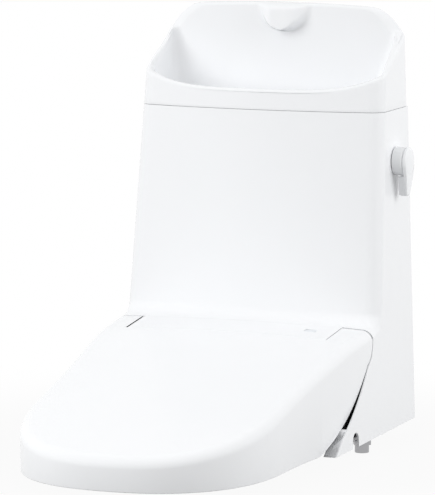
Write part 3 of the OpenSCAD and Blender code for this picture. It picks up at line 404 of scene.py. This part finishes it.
def cabinet_loft(inset):
    """The cabinet's solid, drawn in by an inset: deck, hollow foot, then the leaning front. Each row
    is a section and two points at the lower edge of the side panels, or at the rear above the foot."""
    low, back = (-20, BACK + 20) if inset else (0, BACK)
    rows = []

    def add(p, normal, r, t, anchor):
        crown = DECK_CROWN + (FRONT_BOW - DECK_CROWN) * smooth(t)
        w = side_x(anchor[1]) - inset
        rows.append(np.vstack([section(p, normal, inset, r, crown), [[w, *anchor], [-w, *anchor]]]))

    for y in DECK_ROWS:
        normal = np.array([0, 1]) if y == DECK_ROWS[0] else np.array([-DECK_RISE, 1]) / DECK_TILT
        p = np.array([y, deck_line(y)]) - inset * normal
        add(p, normal, DECK_R - inset, 0, (p[0], low))
    first = math.pi / 2 + math.atan(DECK_RISE)
    for t in np.linspace(0, 1, 25):
        a = first + (math.pi - LEAN - first) * t
        normal = np.array([math.cos(a), math.sin(a)])
        p = foot_c - (FOOT_R + inset) * normal
        # Below the foot, the points at the lower edge are spread evenly as far as the back.
        add(p, normal, DECK_R + (CORNER_R - DECK_R) * smooth(t) - inset, t,
            (foot_c[0] + (back - foot_c[0]) * (6 * t + 1) / 7, low))
    leaning, level = np.array([-math.cos(LEAN), math.sin(LEAN)]), np.array([-1, 0])
    for z, normal in (((foot_c[1] + SEAM_Z) / 2, leaning), (SEAM_Z + 30, level)):
        p = np.array([tank_y(z), z]) - inset * normal
        add(p, normal, CORNER_R - inset, 1, (back, p[1]))
    return skin("cabinet_cover", rows[::-1])


# The seam between a side panel and the lid, seen from the side. It leaves the pocket's arc at an angle
# and bends once on its way down to the front.
SEAM_ANGLE, SEAM_BEND, SEAM_END, SEAM_NORMAL = -65, (-72, 28), (-WING_REACH, 3), (-0.6, 0.8)


def seam(gap, steps=24):
    """A curve of the second degree through start, bend and end, moved towards the lid by a gap."""
    start = circle(HINGE, POCKET_R - gap, 1, SEAM_ANGLE, SEAM_ANGLE)
    bend, end = (np.array(point) + gap * np.array(SEAM_NORMAL) for point in (SEAM_BEND, SEAM_END))
    t = np.linspace(0, 1, steps)[:, None]
    return (1 - t) ** 2 * start + 2 * t * (1 - t) * bend + t ** 2 * end


def pocket(gap, low=-40):
    """Everything on the lid's side of the seam, in the side view."""
    arc = circle(HINGE, POCKET_R - gap, 40, 90, SEAM_ANGLE)
    return np.vstack([arc, seam(gap)[1:], [(-WING_REACH - 8, gap), (-WING_REACH - 8, low), (-FAR, low),
                                           (-FAR, FAR), (HINGE_Y, FAR)]])


DECK_EDGE_R = math.hypot(-DECK_REACH - HINGE_Y, deck_line(-DECK_REACH) - HINGE_Z) - 0.6
LEDGE = 14


def unit_front(gap):
    """What lies in front of the seat unit's middle, in the side view: the deck's round front edge,
    a ledge under it and the hidden front wall."""
    edge = DECK_EDGE_R - gap
    front = circle(HINGE, edge, 28, 90, 180 + math.degrees(math.asin(LEDGE / edge)))
    return np.vstack([[(HINGE_Y, FAR)], front,
                      [(HINGE_Y - LEDGE, HINGE_Z - LEDGE), (HINGE_Y - 24, HINGE_Z - 30),
                       (-UNIT_REACH + 8 + gap, 100), (-UNIT_REACH + gap, 80), (-UNIT_REACH + gap, -40),
                       (-FAR, -40), (-FAR, FAR)]])


def cabinet_block(inset):
    """The loft without what the lid, the seat and the basin take up."""
    cutters = [prism(unit_front(inset), -DECK_HALF - 0.01, DECK_HALF + 0.01),
               box((-300, -FAR, SEAM_Z), (300, 300, 600))]
    for side in (-1, 1):
        cutters.append(prism(pocket(-inset), *span(side, DECK_HALF - inset, OUTSIDE)))
        low, high = span(side, DECK_HALF - inset, OUTSIDE if inset else WING_INNER)
        cutters.append(box((low, -FAR, -50), (high, -UNIT_REACH + inset, 250)))
    return combine(cabinet_loft(inset), cutters)


# A wing's end in the side view: its slanted line, and the back of the recess behind it. The rebate
# leaves the panel's edge EDGE_T thin along the seam.
WING_LINE = ((-75, 57), (-100, 32), (-147, -1))
WING_FOOT = (WING_LINE[-1][0], -60)
RECESS_BACK = ((-124, -60), (-124, 0), (-104, 22), (-98, 34))
REBATE_DEPTH, REBATE_Y, REBATE_Z, EDGE_T = 14, (-96, 60), (30, 128), 1.8


def wing_end(side):
    """What lies in front of a wing's slanted end, the recess behind that end, and the rebate. The last
    two follow the panel's taper."""
    front = np.vstack([WING_LINE, [WING_FOOT, (-FAR, -60), (-FAR, WING_LINE[0][1])]])
    near, far = DECK_HALF + 25, side_x(0) - EDGE_T
    rebate = combine(prism(pocket(-REBATE_DEPTH), *span(side, near + 12, far)),
                     [box((-300, REBATE_Y[0], REBATE_Z[0]), (300, REBATE_Y[1], REBATE_Z[1]))], "INTERSECT")
    recess = prism(np.vstack([WING_LINE[1:], [WING_FOOT], RECESS_BACK]), *span(side, near + 3, far))
    shear = Matrix(((1, 0, -side * SIDE_TAPER, 0), (0, 1, 0, 0), (0, 0, 1, 0), (0, 0, 0, 1)))
    for piece in (rebate, recess):
        piece.data.transform(shear)
    return [prism(front, *span(side, near, 300)), recess, rebate]


notch = np.vstack([circle((NOTCH_Y, NOTCH_TOP - NOTCH_R), NOTCH_R, 40, 180, 0),
                   [(NOTCH_Y + NOTCH_R, -10), (NOTCH_Y - NOTCH_R, -10)]])
port = NOZZLE_X + NOZZLE_R + 7
window_low, window_high = (np.array(WINDOW_C) + sign * np.array(WINDOW_S) / 2 for sign in (-1, 1))
cabinet = combine(cabinet_block(0), [
    cabinet_block(WALL),
    *wing_end(-1),
    *wing_end(1),
    prism(np.vstack([circle(HINGE, POCKET_R + 1.2, 24, 90, 0), [HINGE]]), DECK_HALF, OUTSIDE),
    prism(notch, side_x(0) - 12, side_x(0) + 5),
    prism(circle((LEVER_Y, LEVER_Z), NECK_R + PLAY), side_x(LEVER_Z) - 30, side_x(LEVER_Z) + 30),
    box((-port, -UNIT_REACH - 5, 6), (port, -UNIT_REACH + 15, 50)),
    box((*window_low, 130), (*window_high, 190)),
    *(prism(circle(HINGE, PIN_R + SLIP, 32), x - 12, x + 12) for x in (-DECK_HALF, DECK_HALF)),
])
dress(cabinet, "unit", "white_gloss")


# Basin: a moulded shell that stands on the seam, with its lip inside the cover. Its rim sweeps up from
# a low front to a high back, and a spout hood grows out of the back wall.
RIM_BACK, RIM_FRONT, RIM_CORNER, RIM_W, RIM_ROUND = 618, 498.5, 523, 10, 5
HOOD_OUT, HOOD_HALF, HOOD_FLAT, HOOD_DROP, HOOD_FADE, HOOD_SINK = 20, 46, 14, 44, 5, 0.3
FLOOR_Z, FLOOR_R, DRAIN_DROP, DRAIN_R, FLANGE_R = 474, 9, 7, 19, 22
WALL_BACK, DRAW_SIDE, DRAW_FRONT, INNER_R_FRONT, INNER_R_REAR, OUTER_R_REAR = 12, 8, 3, (18, 31), (13, 28), 8
BASIN_WALL, BASIN_FOOT, FOOT_ROUND, LIP_DROP, LIP_T = 3, SEAM_Z + 0.5, 0.6, 8, 2

# The basin's outline as seen from above, from the rear's middle round to the front's middle: which
# stretch a point is on, and how far along it.
stretches = [(0, np.linspace(0, HOOD_HALF, 26)), (1, np.linspace(0, 1, 14)[1:]),
             (2, np.linspace(0, 90, 10)[1:]), (3, np.linspace(0, 1, 12)[1:-1]),
             (4, np.linspace(0, 90, 19)), (5, np.linspace(1, 0, 22)[1:])]
kind = np.concatenate([np.full(len(values), number) for number, values in stretches])
along = np.concatenate([values for number, values in stretches])


def basin_xy(z, side, front, rear, rf, rr):
    """Outline at heights z, drawn in from the sides, front and rear, with front and rear corner radii:
    a straight rear, round corners, leaning sides, and a front that bows forward by the square of x."""
    w = side_x(z) - side
    yf = tank_y(z) + front
    yb = BACK - rear + 0 * w
    a = np.radians(along)
    x = np.where(kind == 4, w - rf + rf * np.cos(a), (w - rf) * along)
    bow = FRONT_BOW * (x / w) ** 2
    xs = np.select([kind == k for k in range(6)],
                   [along, HOOD_HALF + (w - rr - HOOD_HALF) * along, w - rr + rr * np.sin(a),
                    w + 0 * a, x, x])
    ys = np.select([kind == k for k in range(6)],
                   [yb, yb, yb - rr + rr * np.cos(a), yb - rr + (yf + FRONT_BOW + rf - yb + rr) * along,
                    yf + bow + rf * (1 - np.sin(a)), yf + bow])
    return xs, ys


def rim_heights():
    """Height of the rim. Its front rises to the corners by the fourth power of x. The sides climb by
    half of the way behind the front corner, with a soft start and a square near the back. The rear
    falls from its middle by a square of x, and by a steeper one near its ends."""
    x, y = basin_xy(RIM_CORNER, 0, 0, 0, CORNER_R, OUTER_R_REAR)
    front = RIM_FRONT + (RIM_CORNER - RIM_FRONT) * (x / side_x(RIM_CORNER)) ** 4
    behind = y - tank_y(RIM_CORNER) - 34
    side = RIM_CORNER + 0.5 * behind + 4 * smooth(behind / 25) + 4 * np.maximum(0, (y - BACK + 34) / 26) ** 2
    rear = RIM_BACK - 5 * (x / 160) ** 2 - 26 * np.maximum(0, (x - 138) / 42) ** 2
    t = along / 90
    return np.select([kind == k for k in range(6)], [rear, rear, rear + (side - rear) * t * (2 - t), side,
                                                     side + (front - side) * t, front])


rim_z = rim_heights()


def hood(z):
    """How far the spout hood stands out of the back wall at heights z. Its lower edge is crisp at the
    spout. By the square of the distance from there, it rises 9 mm and softens 14 mm at 30 mm."""
    across = smooth((HOOD_HALF - along) / (HOOD_HALF - HOOD_FLAT))
    flank = (along / 30) ** 2
    up = smooth((z - RIM_BACK + HOOD_DROP - 9 * flank) / (HOOD_FADE + 14 * flank))
    return np.where(kind == 0, HOOD_OUT * across * up, 0)


def ring(x, y, z):
    """A whole loop from half of one."""
    half = np.stack([x, y, z + 0 * x], -1)
    return np.vstack([half, half[-2:0:-1] * (-1, 1, 1)])


def wall_ring(k, lift=0, thick=0):
    """The inner wall at a depth from 0 at the rim to 1 at the floor's edge. It draws in, and its corners
    grow rounder, with depth."""
    top = rim_z - RIM_ROUND - HOOD_SINK * hood(RIM_BACK)
    z = top + (FLOOR_Z + FLOOR_R - top) * k + lift
    turn = smooth(k / 0.8)
    rf, rr = (low + (high - low) * turn for low, high in (INNER_R_FRONT, INNER_R_REAR))
    rear = WALL_BACK + DRAW_SIDE * k + hood(z - thick) - thick
    return ring(*basin_xy(z, RIM_W + DRAW_SIDE * k - thick, RIM_W + DRAW_FRONT * k - thick, rear, rf, rr), z)


def skin_ring(z, inset):
    """The outer wall's outline at heights z, drawn in."""
    return ring(*basin_xy(z, inset, inset, inset, CORNER_R - inset, max(OUTER_R_REAR - inset, 3)), z)


def floor_ring(inset, z):
    """The floor's outline, drawn in from where the inner wall meets it."""
    side, front, rear = (drawn + inset for drawn in
                         (RIM_W + DRAW_SIDE, RIM_W + DRAW_FRONT, WALL_BACK + DRAW_SIDE))
    return ring(*basin_xy(FLOOR_Z + FLOOR_R, side, front, rear, INNER_R_FRONT[1] - inset,
                          INNER_R_REAR[1] - inset), z)


drain = np.array([0, BACK - 66])
drain_z = FLOOR_Z - DRAIN_DROP


def drain_ring(f, z):
    """The floor's outline shrunk towards the drain to a share f of its size."""
    loop = floor_ring(FLOOR_R, z)
    loop[:, :2] = drain + (loop[:, :2] - drain) * f
    return loop


def hood_depth(up):
    """The depth of the middle of the back wall at a height above the hood's lower edge."""
    top = RIM_BACK - RIM_ROUND - HOOD_SINK * HOOD_OUT
    return (HOOD_DROP - up - RIM_ROUND - HOOD_SINK * HOOD_OUT) / (top - FLOOR_Z - FLOOR_R)


def depths(up):
    """Depths of the wall's rings, close together where the hood's lower edge is."""
    return np.concatenate([np.linspace(1, hood_depth(up) + 0.02, 14),
                           [hood_depth(up + HOOD_FADE * t) for t in np.linspace(0, 1, 7)],
                           [hood_depth(up + HOOD_FADE + 20 * t) for t in np.linspace(0.1, 1, 10)],
                           np.linspace(hood_depth(up + HOOD_FADE + 20) * 0.85, 0, 7)])


# The shell's loops in order: the floor from the drain out, the inner wall up, the rim over, the outer
# wall down to the foot and the lip, then the inside of the wall up and back to the drain.
quarter = np.radians(np.linspace(0, 90, 7))
inner_top = wall_ring(0)
crest = skin_ring(rim_z, RIM_W / 2)
over_rim = crest - inner_top
lip = WALL + 2 * PLAY
rows = [drain_ring(f, FLOOR_Z - DRAIN_DROP + DRAIN_DROP * smooth((f - 0.3) / 0.6))
        for f in np.linspace(0.05, 0.95, 12)]
rows += [floor_ring(FLOOR_R * (1 - math.sin(a)), FLOOR_Z + FLOOR_R * (1 - math.cos(a))) for a in quarter[:-1]]
rows += [wall_ring(k) for k in depths(0)]
rows += [inner_top + over_rim * (1 - math.cos(a), 1 - math.cos(a), math.sin(a)) for a in quarter[1:]]
rows += [skin_ring(rim_z - RIM_ROUND * (1 - math.cos(a)), RIM_W / 2 * (1 - math.sin(a))) for a in quarter[1:]]
rows += [skin_ring(rim_z + (BASIN_FOOT + FOOT_ROUND - rim_z) * t, 0) for t in np.linspace(0.15, 1, 8)]
rows += [skin_ring(BASIN_FOOT + 0.15, 0.15), skin_ring(BASIN_FOOT, FOOT_ROUND)]
rows += [skin_ring(BASIN_FOOT, lip), skin_ring(SEAM_Z - LIP_DROP, lip),
         skin_ring(SEAM_Z - LIP_DROP, lip + LIP_T), skin_ring(BASIN_FOOT + 3, lip + LIP_T),
         skin_ring(BASIN_FOOT + 6, BASIN_WALL), skin_ring(rim_z - 7, BASIN_WALL)]
rows += [wall_ring(k, -BASIN_WALL if k in (0, 1) else 0, BASIN_WALL) for k in depths(BASIN_WALL)[::-1]]
rows += [floor_ring(1, FLOOR_Z - 0.4), floor_ring(8, FLOOR_Z - BASIN_WALL),
         drain_ring(0.75, drain_z - BASIN_WALL), drain_ring(0.05, drain_z - BASIN_WALL)]
basin = skin("basin", rows[::-1])
SPOUT, SPOUT_R, SPOUT_LEAN = (0, BACK - 24, RIM_BACK - HOOD_DROP), 6, math.radians(10)
spout_hole = prism(circle((0, 0), SPOUT_R + PLAY, 40), -14, 10, axis=2)
spout_hole.data.transform(Matrix.Translation(Vector(SPOUT) * MM) @ Matrix.Rotation(-SPOUT_LEAN, 4, "X"))
combine(basin, [prism(circle(drain, DRAIN_R), drain_z - 20, drain_z + 20, axis=2),
                prism(circle(drain, FLANGE_R + PLAY), drain_z, drain_z + 20, axis=2), spout_hole])
dress(basin, "unit", "white_gloss", sharp=40)


# Lid: a long moulded shell, open below, with two ears that turn in pockets beside the deck. The hinge
# pins go through the ears' inner cheeks, and a curved wall joins these along the deck's front edge.
LID_REACH, LID_REAR_HALF, LID_FRONT_HALF, LID_NOSE, NOSE_POWER = 507, 201, 184, 207, 2 / 2.35
LID_BOTTOM, LID_WALL, LID_SHOULDER, LID_REAR, EAR_Y, CHEEK_T = 4, 3, 15, 48, 25, 4
LID_TIP_Z, LID_EASE = 50, 30
NOSE_Y = LID_NOSE - LID_REACH
LID_LENGTH = LID_REACH - DECK_REACH
LID_FALL = deck_line(-DECK_REACH) - LID_TIP_Z - DECK_RISE * LID_LENGTH
LID_BEND = LID_FALL * (LID_LENGTH + LID_EASE) / LID_LENGTH ** 2
CHEEK_X = {-1: DECK_HALF + 3, 1: DECK_HALF + 1.3}
SPINE_Y, CORE_Y = (NOSE_Y - 60, -20), -180

# The lid's outline from the rear's middle to the tip: across the rear, along the side, round the nose.
lid_stretches = [(0, np.linspace(0, 1, 12)), (1, np.linspace(LID_REAR - 20, NOSE_Y + 4, 56)),
                 (2, np.concatenate([[0, 1.5, 3, 5], np.linspace(8, 82, 38), [84, 86, 88, 90]]))]
lid_kind = np.concatenate([np.full(len(values), number) for number, values in lid_stretches])
lid_along = np.concatenate([values for number, values in lid_stretches])


def lid_half(y):
    """Half width of the lid: widest at the ears, and narrower towards the nose by half a cosine."""
    t = np.clip((EAR_Y - y) / (EAR_Y - NOSE_Y), 0, 1)
    return (LID_REAR_HALF + LID_FRONT_HALF) / 2 + (LID_REAR_HALF - LID_FRONT_HALF) / 2 * np.cos(np.pi * t)


def lid_top(x, y):
    """Height of the lid: on the deck's line at first. Ahead of the deck it falls by the deck's slope and
    by a square over the distance, and it is crowned across by the square of x."""
    d = -DECK_REACH - y
    ahead = np.maximum(d, 0)
    fall = DECK_RISE * ahead + LID_BEND * ahead ** 2 / (ahead + LID_EASE)
    middle = np.where(d < 0, deck_line(y), deck_line(-DECK_REACH) - fall)
    return middle - DECK_CROWN * (x / LID_REAR_HALF) ** 2


def lid_xy(inset):
    """Outline of the lid, drawn in. The nose is a superellipse, drawn in along its normal."""
    a = np.radians(np.where(lid_kind == 2, lid_along, 45))
    c, s = np.cos(a), np.sin(a)
    nx, ny = LID_NOSE * c ** (2 - NOSE_POWER), -LID_FRONT_HALF * s ** (2 - NOSE_POWER)
    length = np.hypot(nx, ny)
    x = np.select([lid_kind == 0, lid_kind == 1],
                  [lid_along * (lid_half(LID_REAR) - inset), lid_half(lid_along) - inset],
                  LID_FRONT_HALF * c ** NOSE_POWER - inset * nx / length)
    y = np.select([lid_kind == 0, lid_kind == 1], [LID_REAR - inset + 0 * lid_along, lid_along],
                  NOSE_Y - LID_NOSE * s ** NOSE_POWER - inset * ny / length)
    return np.where(lid_along == 90, 0, x), y


def lid_ring(inset, drop, spine=0.0, core=0.0):
    """A loop on the lid's top, `drop` below it: drawn in, then part of the way to its spine and core."""
    x, y = lid_xy(inset)
    x, y = x * (1 - spine), y + (np.clip(y, *SPINE_Y) - y) * spine
    x, y = x * (1 - core), y + (CORE_Y - y) * core
    return ring(x, y, lid_top(x, y) - drop)


def lid_shape(wall):
    """The lid's solid, or with a wall its hollow: a side with a round lower edge, a round shoulder,
    then the top."""
    r = LID_SHOULDER - wall
    edge = ((wall, -8),) if wall else ((1.2, LID_BOTTOM), (0.35, LID_BOTTOM + 0.7))
    rows = [ring(*lid_xy(inset), z) for inset, z in (*edge, (wall, LID_BOTTOM + 2.5))]
    rows += [lid_ring(wall + r * (1 - math.cos(a)), wall + r * (1 - math.sin(a)))
             for a in np.radians(np.linspace(0, 90, 13))]
    rows += [lid_ring(LID_SHOULDER, wall, spine) for spine in np.linspace(0.05, 0.85, 14)]
    rows += [lid_ring(LID_SHOULDER, wall, 0.85, core) for core in np.linspace(0.1, 0.97, 9)]
    return skin("lid", rows)


EAR_ARC, EAR_ROUND = POCKET_R - LID_GAP, 4


def ear_rounding(side):
    """What the round rear edge of an ear takes off. Across the ear, a circle of radius EAR_ROUND touches
    the top's line from below and the ear's arc from inside; the cutter lies beyond it."""
    x = np.linspace(CHEEK_X[side] - 1, LID_REAR_HALF - 0.3, 30)
    over = np.maximum(x - LID_REAR_HALF + LID_SHOULDER, 0)
    drop = DECK_CROWN * (x / LID_REAR_HALF) ** 2 + LID_SHOULDER - np.sqrt(LID_SHOULDER ** 2 - over ** 2)
    level = deck_line(HINGE_Y) - HINGE_Z - drop - EAR_ROUND * DECK_TILT
    reach = EAR_ARC - EAR_ROUND
    run = (-DECK_RISE * level + np.sqrt(reach ** 2 * DECK_TILT ** 2 - level ** 2)) / DECK_TILT ** 2
    centre = np.stack([HINGE_Y + run, HINGE_Z + level + DECK_RISE * run], -1)
    first = math.pi / 2 + math.atan(DECK_RISE)
    last = np.arctan2(centre[:, 1] - HINGE_Z, centre[:, 0] - HINGE_Y)
    a = first + (last - first)[:, None] * np.linspace(0, 1, 9)
    ray = np.stack([np.cos(a), np.sin(a)], -1)
    arc = centre[:, None] + EAR_ROUND * ray
    far = centre[:, None] + (EAR_ROUND + 8) * ray[:, [8, 6, 4, 2, 0]]
    loop = np.concatenate([arc, far], 1)
    points = np.concatenate([np.broadcast_to(side * x[:, None, None], (*loop.shape[:2], 1)), loop], -1)
    return skin("cutter", points)


def values_of(collection, name, width=3, kind=float):
    """One property of all of a mesh's vertices, corners or faces, as an array."""
    values = np.empty(width * len(collection), kind)
    collection.foreach_get(name, values)
    return values.reshape(-1, width)


RING_LOW, RING_IN = 18, DECK_EDGE_R + 0.45
hollow = lid_shape(LID_WALL)
kept = [combine(prism(pocket(LID_GAP), *span(side, near, near + CHEEK_T)),
                [box((-OUTSIDE, -80, 70), (OUTSIDE, 60, 190))], "INTERSECT")
        for side, near in CHEEK_X.items()]
kept.append(combine(prism(circle(HINGE, RING_IN + 4, 72), -CHEEK_X[-1] - 1, CHEEK_X[1] + 1),
                    [box((-300, HINGE_Y - 60, HINGE_Z - RING_LOW), (300, HINGE_Y, HINGE_Z + 62))],
                    "INTERSECT"))
combine(hollow, kept)
cutters = [hollow, prism(circle(HINGE, RING_IN, 72), -CHEEK_X[-1], CHEEK_X[1]),
           box((-CHEEK_X[-1], HINGE_Y, -50), (CHEEK_X[1], 200, 250))]
for side, near in CHEEK_X.items():
    low, high = span(side, near - 0.01, OUTSIDE)
    cutters += [combine(box((low, -300, -60), (high, 100, 240)),
                        [prism(pocket(LID_GAP, -100), low - 1, high + 1)]),
                ear_rounding(side),
                prism(circle(HINGE, PIN_R + SLIP, 32), *span(side, near - 1, near + CHEEK_T + 1))]
lid = dress(combine(lid_shape(0), cutters), "lid", "white_gloss")

# The ears' inner cheeks, which carry the hinge, get black plastic as painted shade: it stands in for the
# shadow in the slit beside the deck, which shows black.
lid.data.materials.append(looks["black_plastic"])
centres = values_of(lid.data.polygons, "center") / MM
inner = np.minimum(abs(centres[:, 0] - CHEEK_X[1]), abs(centres[:, 0] + CHEEK_X[-1])) < 0.05
lid.data.polygons.foreach_set("material_index", (inner & (centres[:, 2] > 90)).astype(np.int32))


# Lever: a round boss on the side panel, and a handle whose disc ends in a thumb piece below. Both are
# white mouldings; the nut and the shaft with its crank sit behind the panel.
DISC_R, BOSS_T, HUB_T, BORE, SOCKET = 21, 16.2, 7.2, 4.05, 5.4
BOSS_FOOT, BOSS_EDGE, HUB_FOOT, HUB_EDGE = 0.6, 2.2, 0.5, 6
HANDLE_TOP, HANDLE_LONG, THUMB_X = 6, 45, 6.9
BOSS_X = side_x(LEVER_Z - DISC_R) + PLAY
HUB_X = BOSS_X + BOSS_T + 2 * PLAY


def lathe(name, profile, x):
    """A closed profile of (radius, distance) turned about the lever's axis, from a place along it."""
    profile = np.asarray(profile, float)
    a = np.radians(np.arange(0, 360, 3.75))[:, None]
    rows = np.stack([x + profile[:, 1] + 0 * a, LEVER_Y + profile[:, 0] * np.cos(a),
                     LEVER_Z + profile[:, 0] * np.sin(a)], -1)
    return skin(name, rows, ring=True)


def fillet(centre, radius, start, end, squeeze=1.0, steps=7):
    """An arc of a profile, between two angles."""
    return circle((0, 0), radius, steps, start, end) * (1, squeeze) + centre


def bar(heights, half, low, high, r):
    """A bar down from the lever's axis: at each height a round-cornered section, drawn in at its tip."""
    heights, half, low, high = (np.asarray(value, float)[:, None] for value in (heights, half, low, high))
    a = np.radians(np.arange(0, 360, 15) + 7.5)
    r = np.minimum(r, np.minimum(half, (high - low) / 2) * 0.98)
    x = (low + high) / 2 + np.sign(np.cos(a)) * ((high - low) / 2 - r) + r * np.cos(a)
    y = LEVER_Y + np.sign(np.sin(a)) * (half - r) + r * np.sin(a)
    return skin("lever_handle", np.stack([x, y, LEVER_Z + heights + 0 * a], -1))


def form(node):
    """A copy of a node's own solid, which is all triangles, with its flat faces whole again."""
    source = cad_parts[node].data
    corners = values_of(source.loops, "vertex_index", 1, np.int32).reshape(-1, 3)
    return mesh_piece(node, values_of(source.vertices, "co") / MM, corners.tolist(), turn=False)


def refine(nodes, body, rounding):
    """Gives nodes whose shape is right their moulded or machined edges and smooth faces."""
    for node in nodes:
        dress(form(node), body, slot_of(node), rounding, sharp=35)


neck_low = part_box("lever_bezel")[0][0] / MM - BOSS_X
boss = lathe("lever_bezel", np.vstack([
    [(BORE, neck_low), (NECK_R, neck_low), (NECK_R, 0), (DISC_R - BOSS_FOOT, 0)],
    fillet((DISC_R - BOSS_FOOT, BOSS_FOOT), BOSS_FOOT, -90, 0, 1, 4),
    fillet((DISC_R - BOSS_EDGE, BOSS_T - BOSS_EDGE), BOSS_EDGE, 0, 90), [(BORE, BOSS_T)]]), BOSS_X)
dress(boss, "unit", "white_gloss", sharp=50)

# The handle: a disc with a domed face, a plate that tapers down from it, and the thumb piece behind.
hub = lathe("lever_handle", np.vstack([
    [(0, SOCKET), (BORE, SOCKET), (BORE, 0), (DISC_R - HUB_FOOT, 0)],
    fillet((DISC_R - HUB_FOOT, HUB_FOOT), HUB_FOOT, -90, 0, 1, 4),
    fillet((DISC_R - HUB_EDGE, 2.5), HUB_EDGE, 0, 90, 0.6, 13), [(8, HUB_T - 0.35), (0, HUB_T)]]), HUB_X)
down = np.array([0, 0.2, 0.4, 0.6, 0.75, 0.87, 0.94, 0.98, 1])
heights = -HANDLE_TOP - HANDLE_LONG * down
draw = np.array([1, 1, 1, 1, 1, 1, 0.97, 0.86, 0.6])
plate = bar(heights, (19.9 - 13.4 * down) * draw, HUB_X + 0 * down,
            HUB_X + np.minimum(5.6, 6.6 - 3.4 * down) * draw, 1.6)
heights = np.array([-21.8, -21.9, -22.2, -30, -38, -45, -49, -50.5, -51])
half = np.array([9.6, 9.9, 10, 9.2, 8.3, 7.4, 6.4, 5.4, 4.0])
back = np.array([0.3, 0.1, 0, 0, 0, 0, 0.2, 0.8, 1.8])
thumb = bar(heights, half, BOSS_X + THUMB_X + back, HUB_X + 2 + 0 * back, 1.8)
dress(combine(hub, [plate, thumb], "UNION"), "lever", "white_gloss", rounding=0.4, sharp=40)
refine(["lever_nut"], "unit", 0.5)
refine(["lever_shaft"], "lever", 0.5)


# Spout: a grey nozzle in the hood, whose outlet is set back into the hood's lower face, and the tube
# that feeds it. The basin drains through a strainer and a short tail.
SET_BACK = 3.5
spout = form("spout_nozzle")
points = values_of(spout.data.vertices, "co")
axis = np.array([0, math.sin(SPOUT_LEAN), math.cos(SPOUT_LEAN)])
height = (points - np.array(SPOUT) * MM) @ axis
points += axis * np.maximum(0, SET_BACK * MM - height)[:, None]
spout.data.vertices.foreach_set("co", points.ravel())
dress(spout, "unit", "grey_plastic", 0.3)
refine(["spout_tube", "basin_strainer", "drain_tail"], "unit", 0.5)


# Seat: one moulded ring under the lid, with its rear arched over the nozzles, on rubber feet. It turns
# on the same two pins as the lid, and dampers slow both.
refine(["seat_ring", "seat_bumpers"], "seat", 1.2)
refine(["lid_bumpers"], "lid", 0.8)
refine(["hinge_pins", "hinge_dampers"], "unit", 0.5)


# Back, base and inlet: the screwed rear panel, the plate that the fixing bolts hold, and the plated
# metal inlet behind the notch.
refine(["rear_panel", "rear_screws", "base_plate", "base_screws"], "unit", 0.5)
refine(["inlet_body", "inlet_nut", "outlet_pipe", "outlet_gasket", "receiver_window"], "unit", 0.4)


# Cistern: the inner tank on its stand, with its flush valve and fill valve, all plain mouldings. The
# lift chain and the supply hose keep their CAD solids.
refine(["inner_tank", "tank_stand", "valve_seat", "overflow_tube", "fill_valve"], "unit", 0.8)
refine(["flapper"], "flapper", 0.5)
refine(["float_arm", "float_cup"], "float", 0.8)


# Washing unit: two nozzles in their housing, their drive, the heater, the control box and the valves,
# on the base plate under the deck.
refine(["nozzle_housing", "nozzle_drive", "heater_tank", "control_box", "valve_unit"], "unit", 0.8)
refine(["wash_nozzle"], "wash_nozzle", 0.5)
refine(["bidet_nozzle"], "bidet_nozzle", 0.5)
